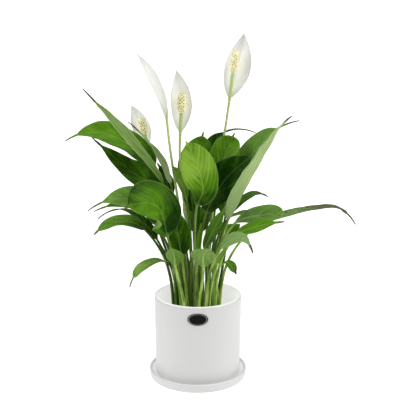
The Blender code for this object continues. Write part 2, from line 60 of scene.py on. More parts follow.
# Turned ware, and how strongly the glaze glows with painted white light inside the ware and on its
# rims
TURN_SEGMENTS = 192
SAUCER_FOOT_RADIUS = 0.0775
SAUCER_WALL = 0.0046
SAUCER_FLOOR = 0.0048
SAUCER_LIP = 0.0018
SAUCER_HUB = 0.0120
POT_BASE_RADIUS = 0.0680
POT_WALL = 0.0065
POT_FLOOR = 0.0070
POT_FOOT_WIDTH = 0.0090
POT_FOOT_LIFT = 0.0015
POT_CORNER = 0.0022
POT_DRAIN_RADIUS = 0.0060
POT_UNEVENNESS = 0.00006
PAINTED_GLOW_STRENGTH = 0.60
PAINTED_GLOW_ON_POT_RIM = 0.80
PAINTED_GLOW_ON_SAUCER_LIP = 0.25
PAINTED_GLOW_IN_SAUCER = 0.60

# Sticker
LABEL_THICKNESS = 0.0006
LABEL_HEIGHT_ON_POT = 0.1177
LABEL_RINGS = 24
LABEL_SIDES = 96
LABEL_LINE_RISE = 0.00008
LABEL_EDGE_DROP = 0.00012

# Soil and perlite, and the spiral that the stems stand on
SOIL_TOP = 0.0880
SOIL_RINGS = 96
SOIL_SIDES = 192
SOIL_DOME = 0.0006
SOIL_EDGE_DROP = 0.0038
SOIL_SIDE_DROP = 0.0045
CLOD_HEIGHT, CLOD_LENGTHS, CLOD_SEED = 0.0042, (0.017, 0.008), 3
CRUMB_HEIGHT, CRUMB_LENGTHS, CRUMB_SEED = 0.0014, (0.0042, 0.0021), 4
PERLITE_SEED = 11
PERLITE_COUNT = 90
PERLITE_ROWS = 5
PERLITE_SIDES = 9
PERLITE_SIZES = (0.0007, 0.0019)
PERLITE_DENTS = 4
PERLITE_SPREAD = 0.058
STEM_DEPTH = 0.0160
STEM_CLEAR = 0.0010
STEM_UPRIGHT = 1.4
STEM_PLACES = 54
STEM_SPREAD = 0.0405
GOLDEN_ANGLE = math.pi * (3.0 - math.sqrt(5.0))

# Leaves
LEAF_THICKNESS = 0.0008
LEAF_FULLNESS = 1.55
LEAF_TIP_WIDTH = 0.0016
LEAF_END = 0.0006
DRIP_WIDTH = 0.0042
CUP_POWER = 1.35
CUP_SINK = 0.45
WAVE_HEIGHT = 0.09
CAD_STATIONS = (0.0, 0.07, 0.18, 0.34, 0.50, 0.66, 0.82, 1.0)
FLUTTER_HEIGHT, FLUTTER_LENGTHS = 0.05, (0.045, 0.021)
PILLOW_HEIGHT, PILLOW_LENGTHS, PILLOW_SEED = 0.0014, (0.034, 0.015), 60
FULL_RELIEF_WIDTH = 0.022
VEIN_BEND = 0.85
VEIN_OFFSET = 0.31
RIB_RADII = (0.0018, 0.0011, 0.0005)
PETIOLE_FOOT_RADIUS = 0.0029
PETIOLE_NECK_RADIUS = 0.0018
PETIOLE_GROOVE = 0.45
PETIOLE_INTO_BLADE = 0.075
BLADE_SIDE_POINTS = 23
BLADE_STEP = 0.0016
LEAST_STATIONS = 30
PETIOLE_STATIONS = 26

# Blooms
STALK_FOOT_RADIUS = 0.0029
STALK_MIDDLE_RADIUS = 0.0021
STALK_SLIM_RADIUS = 0.0019
STALK_TOP_RADIUS = 0.0025
STALK_END_RADIUS = 0.0029
STALK_SWELLING = 0.04
STALK_SIDES = 24
STALK_STATIONS = 60
STALK_RIDGE = 0.03
SPATHE_THICKNESS = 0.0008
SPATHE_FULLNESS = 1.85
SPATHE_WIDEST = 0.46
SPATHE_END = 0.0008
SPATHE_STATIONS = 72
SPATHE_SIDE_POINTS = 31
SPATHE_FLUTTER_LENGTHS, SPATHE_SEED = (0.03, 0.015), 5
SPATHE_RIBS = 9.0
SPATHE_RIB_HEIGHT = 0.00012
SPATHE_MIDRIB_DEPTH = 0.0005
SPATHE_PAINTED_GLOW = 0.23
SPADIX_SIDES = 72
SPADIX_STATIONS = 110
SPADIX_BLUNTNESS = 3.0
SPADIX_END_SHARE = 0.35
SPADIX_PAINTED_GLOW = 0.22

# Added to the places in a pattern, so that none is below zero
PATTERN_START = 40.0

# Stage
CAMERA_ASIDE = 0.0034
SENSOR_WIDTH = 36.0
FLOOR_RADIUS = 1.199
FLOOR_HUB = 0.02
FLOOR_DROP = 0.0004
WALL_RADIUS = 3.6
WALL_BEND = 0.8
WALL_HEIGHT = 3.2
WALL_DROP = 0.0006
FLOOR_GLOW = 0.50
WALL_GLOW = 1.0
SKY_STRENGTH = 0.25

# Each soft box: name, place, the point that it looks at, width, height and power in watts
SOFT_BOXES = (
    ("soft_box_left", (-2.0, -0.75, 1.3), (0.0, 0.0, 0.28), 1.3, 1.8, 27.0),
    ("soft_box_right", (2.0, -0.70, 1.3), (0.0, 0.0, 0.28), 1.3, 1.8, 30.0),
    ("soft_box_top", (0.0, 0.1, 2.4), (0.0, 0.0, 0.3), 2.2, 2.2, 20.0),
)

# Colours of the marks in the finishes
PAINTED_GLOW_WHITE = (1.0, 0.995, 0.98)
PIN_HOLE = (0.42, 0.39, 0.34)
STICKER_LINE = (0.42, 0.42, 0.41)
PEAT_CRUMB = (0.105, 0.066, 0.038)
PEAT_FIBRE = (0.16, 0.105, 0.06)
PERLITE_WHITE = (0.78, 0.76, 0.70)
PERLITE_PIT = (0.34, 0.27, 0.19)
VEIN_ABOVE = (0.50, 0.68, 0.22)
MIDRIB_ABOVE = (0.32, 0.50, 0.11)
VEIN_BELOW = (0.14, 0.27, 0.06)
SHADED_BELOW = (0.055, 0.150, 0.002)
RIDGE_BELOW = (0.40, 0.55, 0.20)
LEAF_FLECK = (0.20, 0.34, 0.05)
PALE_EDGE_AND_HIGHLIGHT = (0.42, 0.60, 0.22)
PALE_AND_LIT_GREEN = (0.50, 0.64, 0.32)
LEAF_OLIVE = (0.115, 0.125, 0.055)
LEAF_BROWN = (0.040, 0.034, 0.026)
PETIOLE_SHADED = (0.022, 0.062, 0.006)
PETIOLE_DARK_STREAK = (0.040, 0.110, 0.008)
PETIOLE_PAINTED_HIGHLIGHT = (0.56, 0.70, 0.30)
SPATHE_VEIN = (0.66, 0.68, 0.58)
SPATHE_MIDRIB = (0.66, 0.70, 0.50)
SPATHE_PAINTED_SHADE = (0.42, 0.42, 0.41)
SPATHE_BASE = (0.60, 0.70, 0.36)
SPATHE_TIP = (0.50, 0.52, 0.40)
FLORET_SEAM = (0.52, 0.47, 0.17)
FLORET_DOT = (0.13, 0.10, 0.012)
STALK_FOOT = (0.24, 0.40, 0.08)
STALK_STREAK = (0.24, 0.38, 0.10)

# A common leaf's tones, as the last group of numbers of each leaf gives them
COMMON_TONE = (0.85, 0.50, 0.0, 0.0, 0.3, 0.9, 0.3, 0.9)

# Each leaf: name, place on the spiral, neck, crest and tip (x, y, z in cm), width in cm and
# the share of its length where it is widest, the way that its upper face looks, the cupping
# of its halves in degrees, the number of waves along its edges and the share of the blade
# that is its thin drip tip. Then its tones, from 0 to 1: how dark its upper face is at its base
# and at its tip, partly its own green and partly painted shade that is deepest at the base, how
# much darker its right half is as painted shade, how far it turns to pale green, partly the
# underside's own paleness and partly painted light, how clear its veins are, how dark its petiole
# is, partly painted shade, and how dry it is at its tip and from which share of its length on
LEAVES = (
    ("left_spear", 12, (-5.0, -1.5, 31.2), (-10.8, -3.0, 39.4), (-17.0, -4.0, 46.7),
     3.2, 0.55, (0.5, 0.45, 0.6), 30, 1.5, 0.14, (0.7, 0.42, 0.0, 0.06, 0.4, 0.75, 1.0, 0.82)),
    ("left_broad", 38, (-6.6, 0.6, 33.8), (-14.2, 1.2, 39.5), (-20.6, 0.5, 38.3),
     5.3, 0.48, (0.1, -0.55, 0.8), 14, 2.0, 0.12, (0.97, 0.54, 0.0, 0.0, 0.3, 0.9, 0.6, 0.9)),
    ("left_dark", 17, (-5.6, 2.1, 29.2), (-11.9, 1.2, 34.6), (-16.4, 0.5, 38.8),
     4.9, 0.31, (0.4, -0.7, 0.6), 12, 1.5, 0.1, (0.84, 0.68, 0.0, 0.0, 0.1, 0.9, 0.9, 0.86)),
    ("left_back", 14, (-4.2, 2.8, 30.6), (-6.4, 3.2, 35.9), (-11.0, 3.2, 41.0),
     3.2, 0.46, (0.75, 0.25, 0.55), 28, 1.0, 0.36, (0.1, 0.0, 0.0, 0.75, 0.4, 0.7, 0.9, 0.72)),
    ("left_big", 33, (-4.6, -3.4, 23.7), (-6.0, -6.0, 29.6), (-10.7, -9.5, 29.7),
     8.0, 0.56, (0.35, -0.75, 0.7), 14, 1.5, 0.06, (0.97, 0.62, 0.2, 0.0, 0.2, 0.45, 0.5, 0.93)),
    ("left_mid", 25, (-5.9, -2.0, 26.9), (-10.9, -4.0, 30.2), (-16.7, -4.5, 28.3),
     6.1, 0.3, (0.1, -0.55, 0.8), 12, 2.0, 0.18, (0.95, 0.46, 0.0, 0.12, 0.3, 0.7, 0.8, 0.8)),
    ("left_under", 46, (-7.5, -0.8, 26.5), (-11.8, -1.4, 28.5), (-16.2, -1.5, 27.5),
     3.0, 0.48, (0.0, -0.2, 1.0), 15, 1.5, 0.2, (0.9, 0.65, 0.0, 0.0, 0.2, 0.85, 0.9, 0.75)),
    ("left_low", 51, (-8.2, 0.2, 24.0), (-12.2, 0.5, 25.6), (-16.5, 0.0, 23.4),
     3.0, 0.52, (0.0, -0.45, 0.9), 10, 1.5, 0.09, (0.9, 0.42, 0.0, 0.05, 0.2, 0.85, 0.7, 0.9)),
    ("left_low_back", 30, (-6.5, 3.0, 21.6), (-11.7, 4.0, 26.5), (-16.4, 4.5, 24.9),
     2.1, 0.42, (0.0, -0.3, 1.0), 15, 1.0, 0.28, (0.9, 0.8, 0.0, 0.0, 0.1, 0.95, 0.9, 0.7)),
    ("left_small", 35, (-5.3, 3.8, 17.8), (-9.1, 3.8, 17.0), (-11.3, 3.8, 13.5),
     2.2, 0.7, (-0.2, -0.5, 0.8), 12, 1.0, 0.23, (0.6, 0.34, 0.0, 0.15, 0.3, 0.9, 0.8, 0.85)),
    ("left_inner", 20, (-2.5, -1.6, 20.0), (-3.1, -1.8, 24.3), (-4.0, -1.6, 28.6),
     4.0, 0.48, (0.3, -0.9, 0.3), 15, 1.0, 0.08, (0.95, 0.82, 0.0, 0.0, 0.0, 0.25, 0.3, 0.9)),
    ("centre_front", 2, (-0.2, -1.6, 28.1), (0.8, -2.6, 31.6), (-1.9, 1.6, 38.1),
     5.6, 0.54, (0.0, -1.0, 0.25), 12, 1.5, 0.04, (0.98, 0.18, 0.1, 0.0, 1.0, 0.35, 0.2, 0.97)),
    ("centre_left", 4, (-1.7, 0.4, 28.5), (-2.5, 0.4, 31.6), (-4.0, 0.6, 34.4),
     1.8, 0.64, (0.3, -0.8, 0.5), 20, 1.0, 0.04, (0.5, 0.12, 0.0, 0.05, 0.6, 0.6, 0.4, 0.95)),
    ("centre_back", 6, (-1.4, 3.7, 28.5), (0.3, 4.8, 36.5), (0.9, 5.9, 39.1),
     5.9, 0.56, (0.0, -0.9, 0.5), 15, 1.5, 0.07, (0.9, 0.56, 0.0, 0.0, 0.6, 0.95, 1.0, 0.93)),
    ("top_arch", 32, (1.1, 5.8, 32.7), (4.0, 8.0, 38.5), (9.6, 9.2, 38.5),
     3.0, 0.46, (0.3, -0.45, 0.8), 20, 1.0, 0.43, (0.97, 0.93, 0.0, 0.0, 0.1, 0.95, 0.75, 0.5)),
    ("top_front", 8, (2.2, 2.2, 30.1), (4.6, 3.2, 36.6), (5.9, 4.2, 39.1),
     4.8, 0.72, (-0.4, -0.9, 0.4), 14, 1.5, 0.07, (0.9, 0.5, 0.0, 0.0, 0.8, 0.8, 1.0, 0.93)),
    ("centre_dark", 0, (1.2, 0.2, 26.5), (4.2, 0.2, 32.3), (8.5, 1.4, 35.7),
     6.0, 0.51, (-0.5, -0.85, 0.4), 10, 1.5, 0.02, (0.98, 0.97, 0.0, 0.0, 0.05, 0.55, 0.3, 0.98)),
    ("right_back", 16, (4.8, 2.8, 29.2), (10.5, 3.2, 38.3), (16.0, 3.0, 41.2),
     5.1, 0.55, (-0.5, -0.6, 0.6), 16, 2.0, 0.22, (0.85, 0.48, 0.0, 0.1, 0.4, 0.8, 0.9, 0.8)),
    ("right_spear", 13, (4.6, -1.2, 25.7), (11.4, -3.0, 39.5), (14.3, -1.4, 42.4),
     4.1, 0.37, (-0.5, 0.45, 0.6), 28, 1.5, 0.09, (0.85, 0.0, 0.0, 0.46, 0.5, 0.3, 0.9, 0.9)),
    ("right_thin", 21, (5.1, 1.4, 26.2), (8.6, 2.2, 29.5), (11.3, 2.6, 29.0),
     2.1, 0.5, (0.0, -0.3, 1.0), 12, 1.0, 0.12, (0.65, 0.55, 0.0, 0.1, 0.2, 0.6, 0.7, 0.5)),
    ("right_thin_back", 29, (4.9, 3.9, 25.1), (7.0, 3.8, 26.1), (9.6, 4.4, 26.3),
     1.5, 0.48, (0.0, -0.2, 1.0), 10, 1.0, 0.15, (0.5, 0.5, 0.0, 0.2, 0.2, 0.8, 0.5, 0.8)),
    ("right_broad", 26, (5.6, -3.4, 26.0), (10.2, -3.2, 27.5), (13.7, -3.4, 27.8),
     3.3, 0.66, (0.1, -0.7, 0.7), 8, 2.0, 0.07, (0.85, 0.68, 0.0, 0.12, 0.4, 0.25, 0.6, 0.92)),
    ("right_under", 39, (5.7, -4.6, 24.4), (8.8, -6.0, 26.2), (12.9, -7.0, 27.2),
     2.2, 0.46, (0.0, -0.6, 0.75), 8, 1.5, 0.13, (0.55, 0.5, 0.0, 0.0, 0.2, 0.1, 0.8, 0.85)),
    ("right_long", 42, (7.7, 0.8, 23.1), (20.7, 0.0, 28.0), (25.0, 0.5, 25.0),
     2.9, 0.66, (0.0, -0.1, 1.0), 6, 2.0, 0.11, (0.6, 0.5, 0.0, 0.25, 0.2, 0.1, 0.66, 0.1)),
    ("right_low", 44, (3.5, -5.4, 22.6), (6.5, -8.0, 25.0), (8.1, -9.6, 23.1),
     2.1, 0.42, (-0.2, -0.7, 0.6), 10, 1.5, 0.14, (0.62, 0.58, 0.0, 0.36, 0.4, 0.2, 0.9, 0.8)),
    ("right_small", 47, (4.3, -2.4, 19.6), (5.1, -2.8, 19.3), (6.0, -3.0, 17.8),
     1.7, 0.5, (0.1, -0.6, 0.8), 14, 0.5, 0.1, (0.66, 0.72, 0.0, 0.0, 0.2, 0.3, 1.0, 0.55)),
    ("left_inner_back", 27, (-4.3, 4.2, 28.8), (-5.6, 4.6, 32.4), (-6.6, 4.6, 34.2),
     2.4, 0.45, (0.3, -0.7, 0.4), 14, 1.0, 0.08, (0.92, 0.84, 0.0, 0.0, 0.0, 0.9, 0.3, 0.9)),
    ("centre_shade", 3, (-0.7, 1.6, 26.6), (-1.1, 1.6, 29.4), (-1.5, 1.4, 32.5),
     2.5, 0.5, (0.0, -0.95, 0.2), 14, 1.0, 0.05, (0.95, 0.88, 0.0, 0.0, 0.0, 0.9, 0.3, 0.9)),
    ("shoot_centre", 15, (0.0, -3.2, 21.5), (0.2, -3.2, 23.7), (0.5, -3.0, 26.0),
     1.0, 0.45, (0.2, -0.9, 0.2), 30, 0.5, 0.1, (0.7, 0.6, 0.0, 0.0, 0.2, 0.45, 0.2, 0.9)),
    ("shoot_right_low", 31, (3.0, -4.2, 19.8), (3.9, -4.6, 21.7), (4.9, -5.0, 23.2),
     1.0, 0.45, (-0.3, -0.8, 0.3), 30, 0.5, 0.1, (0.3, 0.3, 0.0, 0.15, 0.2, 0.0, 0.2, 0.9)),
    ("front_left", 41, (-3.4, -4.6, 19.6), (-3.5, -7.0, 21.9), (-3.9, -9.5, 23.8),
     2.8, 0.48, (0.0, 0.6, 0.8), 14, 0.5, 0.04, (0.74, 0.7, 0.0, 0.0, 0.2, 0.0, 0.0, 0.9)),
    ("front_centre", 36, (0.9, -5.2, 19.5), (0.8, -8.0, 22.2), (1.4, -11.0, 24.1),
     3.8, 0.48, (0.0, 0.6, 0.8), 14, 0.5, 0.04, (0.62, 0.56, 0.0, 0.0, 0.4, 0.0, 0.0, 0.9)),
    ("centre_low", 5, (1.0, -1.6, 21.3), (2.4, -1.8, 24.6), (4.2, -2.4, 28.4),
     2.0, 0.48, (-0.2, -0.9, 0.3), 15, 1.0, 0.06, (0.85, 0.62, 0.0, 0.05, 0.2, 0.5, 0.3, 0.9)),
    ("rear_top", 45, (3.2, 6.4, 28.5), (5.0, 10.5, 34.8), (5.8, 15.0, 32.2),
     4.8, 0.48, (0.0, 0.2, 1.0), 14, 1.5, 0.1, COMMON_TONE),
    ("rear_left", 48, (-5.2, 5.2, 25.5), (-7.0, 9.5, 30.0), (-8.8, 13.5, 27.5),
     4.4, 0.48, (0.0, 0.2, 1.0), 14, 1.5, 0.1, COMMON_TONE),
    ("rear_centre", 19, (-0.8, 6.2, 27.0), (-0.5, 11.0, 32.0), (-0.4, 16.0, 28.5),
     6.0, 0.48, (0.0, 0.2, 1.0), 12, 1.5, 0.1, COMMON_TONE),
    ("rear_right", 37, (4.5, 5.5, 25.0), (5.8, 10.0, 29.5), (7.0, 14.0, 26.5),
     5.0, 0.48, (0.1, 0.2, 1.0), 14, 1.5, 0.1, COMMON_TONE),
    ("rear_outer_left", 43, (-6.6, 4.6, 23.5), (-8.9, 7.7, 27.0), (-10.8, 10.5, 25.5),
     4.0, 0.48, (-0.1, 0.2, 1.0), 14, 1.5, 0.1, COMMON_TONE),
    ("rear_low", 53, (0.0, 6.5, 21.5), (0.0, 11.5, 25.5), (-0.5, 16.5, 21.5),
     5.5, 0.48, (0.0, 0.3, 1.0), 12, 1.5, 0.1, COMMON_TONE),
    ("rear_low_right", 50, (4.6, 5.0, 20.0), (5.2, 9.3, 23.0), (5.8, 13.0, 19.5),
     4.2, 0.48, (0.1, 0.3, 1.0), 14, 1.5, 0.1, COMMON_TONE),
    ("rear_low_left", 40, (-2.0, 6.0, 19.0), (-3.6, 9.5, 22.0), (-4.6, 13.0, 18.5),
     4.2, 0.48, (-0.1, 0.3, 1.0), 14, 1.5, 0.1, COMMON_TONE),
)

# Each bloom: name, place on the spiral, then (x, y, z in cm) of the stalk's neck where the spathe
# sits, of its top under the spadix, of the spadix's tip and of the spathe's middle and tip. Then
# the spadix's radius and the spathe's width in cm, the way that the spathe looks, its cupping in
# degrees, how far its left and right edge curls forwards, and how much painted shade greys its
# left edge, its right edge, its tip and its foot, from 0 to 1
BLOOMS = (
    ("bloom_high", 24, (5.1, 6.6, 44.3), (5.6, 6.4, 48.4), (6.1, 6.4, 52.2),
     (6.5, 7.5, 49.4), (7.4, 8.0, 54.7), 0.62, 4.4, (-0.1, -1.0, 0.1), 16,
     (0.1, 0.55, 0.25, 0.85, 0.75, 0.25)),
    ("bloom_centre", 1, (-2.8, 3.2, 39.2), (-2.6, 2.9, 42.4), (-2.4, 2.9, 45.8),
     (-2.6, 4.1, 43.9), (-3.4, 4.8, 49.0), 0.72, 3.5, (0.0, -1.0, 0.1), 16,
     (0.1, 0.3, 0.25, 0.65, 0.7, 0.3)),
    ("bloom_side", 9, (-4.9, 2.4, 42.0), (-5.0, 2.5, 43.3), (-5.8, 3.0, 46.3),
     (-6.8, 1.5, 46.9), (-9.3, 1.8, 51.6), 0.5, 3.7, (0.85, 0.5, 0.1), 20,
     (0.1, 0.1, 0.35, 0.6, 0.6, 0.55)),
    ("bloom_low", 22, (-8.1, 5.0, 36.7), (-8.5, 4.6, 38.8), (-9.1, 4.6, 41.6),
     (-9.4, 5.8, 40.4), (-10.7, 6.2, 43.3), 0.66, 3.0, (0.2, -1.0, 0.2), 16,
     (0.3, 0.1, 0.75, 0.4, 0.6, 0.1)),
)

length_setting = partial(bpy.props.FloatProperty, subtype="DISTANCE")
colour_setting = partial(bpy.props.FloatVectorProperty, subtype="COLOR", size=3, min=0.0, max=1.0)


class PotSettings(bpy.types.PropertyGroup):
    """Sizes and colours of the pot, its saucer, its sticker and its soil."""
    rim_radius: length_setting(
        name="Rim radius", description="Outer radius of the pot at its rim", default=0.0700)
    rim_height: length_setting(
        name="Rim height", description="Height of the pot's rim above the table", default=0.1370)
    saucer_radius: length_setting(
        name="Saucer radius", description="Outer radius of the saucer at its lip", default=0.0788)
    saucer_height: length_setting(
        name="Saucer height", description="Height of the saucer's lip above the table",
        default=0.0133)
    label_width: length_setting(
        name="Sticker width", description="Width of the oval sticker", default=0.0320)
    label_height: length_setting(
        name="Sticker height", description="Height of the oval sticker", default=0.0195)
    glaze: colour_setting(
        name="Glaze", description="Colour of the white glaze", default=(0.66, 0.665, 0.655))
    label_black: colour_setting(
        name="Sticker black", description="Ground colour of the sticker",
        default=(0.0035, 0.0035, 0.004))
    peat: colour_setting(
        name="Peat", description="Colour of the damp potting soil", default=(0.030, 0.018, 0.011))


class LeafSettings(bpy.types.PropertyGroup):
    """Relief and colours of the leaves."""
    vein_spacing: length_setting(
        name="Vein spacing", description="Distance between two side veins along the midrib",
        default=0.0130)
    vein_relief: length_setting(
        name="Vein relief", description="Height of the blade's swell between two side veins",
        default=0.00035)
    bright: colour_setting(
        name="Bright green", description="Upper face of the lightest leaves",
        default=(0.26, 0.46, 0.045))
    middle: colour_setting(
        name="Middle green", description="Upper face of the common leaves",
        default=(0.085, 0.235, 0.006))
    dark: colour_setting(
        name="Dark green", description="Upper face of the darkest leaves",
        default=(0.004, 0.034, 0.0012))
    underside: colour_setting(
        name="Underside", description="Pale matt underside of the leaves",
        default=(0.37, 0.53, 0.17))
    petiole: colour_setting(
        name="Petiole", description="Yellow green of the stems that carry the leaves",
        default=(0.36, 0.54, 0.11))


class BloomSettings(bpy.types.PropertyGroup):
    """Relief and colours of the blooms."""
    floret_relief: length_setting(
        name="Floret relief", description="Height of the florets on a spadix", default=0.0007)
    florets_round: bpy.props.IntProperty(
        name="Florets round", description="Number of florets in one turn of a spadix",
        default=8, min=4, max=24)
    white: colour_setting(
        name="Spathe white", description="Colour of the spathes", default=(0.86, 0.86, 0.82))
    cream: colour_setting(
        name="Spadix cream", description="Colour of the florets", default=(0.90, 0.86, 0.52))
    stalk: colour_setting(
        name="Stalk green", description="Colour of the flower stalks", default=(0.64, 0.76, 0.32))


class StageSettings(bpy.types.PropertyGroup):
    """The floor, the backdrop and the camera."""
    floor: colour_setting(
        name="Floor", description="Colour of the plain pale floor", default=(0.90, 0.90, 0.90))
    camera_distance: length_setting(
        name="Camera distance", description="Distance of the camera in front of the plant",
        default=1.24)
    camera_height: length_setting(
        name="Camera height", description="Height of the camera above the table", default=0.551)
    camera_pitch: bpy.props.FloatProperty(
        name="Camera pitch", description="How far the camera looks down", default=0.2071,
        subtype="ANGLE")
    lens: bpy.props.FloatProperty(
        name="Lens", description="Focal length on a sensor 36 mm wide", default=72.54,
        subtype="DISTANCE_CAMERA")


# Meshes

def unit(vectors):
    """Vectors at length one."""
    return vectors / np.linalg.norm(vectors, axis=-1, keepdims=True)


def rising(value, low, high):
    """Zero up to low, one from high on, and 3t^2 - 2t^3 between them."""
    t = np.clip((value - low) / (high - low), 0.0, 1.0)
    return t * t * (3.0 - 2.0 * t)


def falling(value, low, high):
    """One up to low, zero from high on, and the same curve between them."""
    return rising(-value, -high, -low)


def walked(points):
    """The distance walked along a row of points, at each of them."""
    return np.concatenate([[0.0], np.cumsum(np.linalg.norm(np.diff(points, axis=0), axis=1))])


def full_turn(sides):
    """The angles of evenly spaced sides round an axis."""
    return np.arange(sides) * (2.0 * math.pi / sides)


def round_axis(radius, angles, height):
    """Points at a radius, an angle and a height about the vertical axis."""
    return np.stack(np.broadcast_arrays(radius * np.cos(angles), radius * np.sin(angles),
                                        height), -1)


def new_piece(name, points, faces, finish, **values):
    """One piece with smooth faces, and its points' values as attributes for its finish."""
    mesh = bpy.data.meshes.new(name)
    mesh.from_pydata(points.tolist(), [], faces)
    mesh.materials.append(finish)
    mesh.shade_smooth()
    for key, numbers in values.items():
        layer = mesh.attributes.new(key, "FLOAT_VECTOR", "POINT")
        layer.data.foreach_set("vector", np.asarray(numbers, np.float32).ravel())
    piece = bpy.data.objects.new(name, mesh)
    bpy.context.scene.collection.objects.link(piece)
    return piece


def on_rings(rings, *numbers):
    """Up to three numbers for every point of the rings, as an attribute holds them."""
    values = np.zeros(rings.shape)
    for column, number in enumerate(numbers):
        values[..., column] = number
    return values


def with_ends(values):
    """The rings' values in one row, the two end points taking the nearest ring's."""
    return np.vstack([values.reshape(-1, 3), values[0, 0], values[-1, 0]])


def grid_faces(rings, sides, joined=False):
    """Quads between rings of points that are closed on themselves, each ring to the next.

    With joined, the last ring is joined to the first one too.
    """
    ring = np.arange(rings if joined else rings - 1)[:, None]
    side = np.arange(sides)[None]
    step = (side + 1) % sides
    low, high = ring * sides, (ring + 1) % rings * sides
    quads = np.stack([low + side, low + step, high + step, high + side], -1)
    return quads.reshape(-1, 4).tolist()


def fan_faces(first, sides, centre, upward):
    """Triangles from one ring to a centre point, on the ring's upper or lower side."""
    side = first + np.arange(sides)
    step = first + (np.arange(sides) + 1) % sides
    middle = np.full(sides, centre)
    corners = [side, step, middle] if upward else [step, side, middle]
    return np.stack(corners, -1).tolist()


def closed_skin(rings, start, end):
    """Points and faces of a closed skin over rings, with a point at each end."""
    count, sides = rings.shape[:2]
    total = count * sides
    points = np.vstack([rings.reshape(-1, 3), start, end])
    faces = grid_faces(count, sides)
    faces += fan_faces(0, sides, total, False)
    faces += fan_faces(total - sides, sides, total + 1, True)
    return points, faces


def waves(spots, lengths, seed):
    """A soft seeded noise about zero: sines along random directions, summed.

    For every wavelength L it adds the mean of eight sin(2 pi (d . spot) / L + phase), each
    weighted by L over the longest one.
    """
    dice = np.random.default_rng(seed)
    total = np.zeros(spots.shape[:-1])
    for length in lengths:
        ways = unit(dice.normal(size=(8, spots.shape[-1])))
        phases = dice.uniform(0.0, 2.0 * math.pi, 8)
        angles = 2.0 * math.pi / length * (spots @ ways.T) + phases
        total += np.mean(np.sin(angles), axis=-1) * (length / lengths[0])
    return total


# Finishes

class Output:
    """What a node puts out. Reckoning with it makes one Math node for each sign."""

    def __init__(self, finish, socket):
        self.finish = finish
        self.socket = socket

    def __add__(self, other):
        return self.finish.math("ADD", self, other)

    def __sub__(self, other):
        return self.finish.math("SUBTRACT", self, other)

    def __rsub__(self, other):
        return self.finish.math("SUBTRACT", other, self)

    def __mul__(self, other):
        return self.finish.math("MULTIPLY", self, other)

    def __rmul__(self, other):
        return self.finish.math("MULTIPLY", self, other)

    def __truediv__(self, other):
        return self.finish.math("DIVIDE", self, other)

    def __abs__(self):
        return self.finish.math("ABSOLUTE", self)


class Finish:
    """A Principled material whose nodes are written as calls."""

    def __init__(self, name):
        self.material = bpy.data.materials.new(name)
        self.material.use_nodes = True
        self.nodes = self.material.node_tree.nodes
        self.links = self.material.node_tree.links
        self.shader = self.nodes["Principled BSDF"]
        self.place = Output(self, self.nodes.new("ShaderNodeTexCoord").outputs["Object"])

    def node(self, kind, values, result, **settings):
        """One output of a new node with its own settings and the values of its sockets."""
        made = self.nodes.new(kind)
        for key, setting in settings.items():
            setattr(made, key, setting)
        for socket, value in values.items():
            self.put(made.inputs[socket], value)
        return Output(self, made.outputs[result])

    def put(self, socket, value):
        """A link where the value is another node's output, and a plain value otherwise."""
        if isinstance(value, Output):
            self.links.new(value.socket, socket)
        elif socket.type == "RGBA":
            socket.default_value = (*value[:3], 1.0)
        else:
            socket.default_value = value

    def spot(self, *numbers):
        """A point in a pattern from up to three numbers."""
        return self.node("ShaderNodeCombineXYZ", dict(enumerate(numbers)), 0)

    def math(self, operation, *values):
        """A Math node's result."""
        return self.node("ShaderNodeMath", dict(enumerate(values)), 0, operation=operation)

    def blend(self, share, first, second):
        """A mix of two colours, which are the node's sockets 6 and 7."""
        return self.node("ShaderNodeMix", {"Factor": share, 6: first, 7: second}, 2,
                         data_type="RGBA")

    def between(self, value, low, high, start=0.0, stop=1.0):
        """A smooth step from start to stop while value goes from low to high."""
        values = {"Value": value, "From Min": low, "From Max": high, "To Min": start,
                  "To Max": stop}
        return self.node("ShaderNodeMapRange", values, "Result", interpolation_type="SMOOTHSTEP")

    def noise(self, scale, detail=3.0, roughness=0.55, place=None):
        """Noise between 0 and 1, on the piece's own coordinates unless a place is given."""
        values = {"Vector": place or self.place, "Scale": scale, "Detail": detail,
                  "Roughness": roughness}
        return self.node("ShaderNodeTexNoise", values, "Fac")

    def chance(self, place):
        """A random number for each place."""
        return self.node("ShaderNodeTexWhiteNoise", {"Vector": place}, "Value",
                         noise_dimensions="3D")

    def cells(self, scale, feature="F1"):
        """Distance in a pattern of cells."""
        return self.node("ShaderNodeTexVoronoi", {"Vector": self.place, "Scale": scale},
                         "Distance", feature=feature)

    def values(self, name):
        """The three numbers of one of the mesh's own attributes."""
        attribute = self.node("ShaderNodeAttribute", {}, "Vector", attribute_name=name)
        parts = self.nodes.new("ShaderNodeSeparateXYZ")
        self.put(parts.inputs[0], attribute)
        return [Output(self, part) for part in parts.outputs]

    def bump(self, height, distance, strength, under=None):
        """A bump from a height between 0 and 1, on top of the bump under it."""
        values = {"Strength": strength, "Distance": distance, "Height": height}
        if under is not None:
            values["Normal"] = under
        return self.node("ShaderNodeBump", values, "Normal")

    def wear(self, **sockets):
        """Put values on the shader's sockets, spaces in their names written as underlines."""
        for key, value in sockets.items():
            self.put(self.shader.inputs[key.replace("_", " ")], value)
        return self.material


def times(colour, share):
    """A colour made darker or lighter by a share."""
    return [share * part for part in colour]


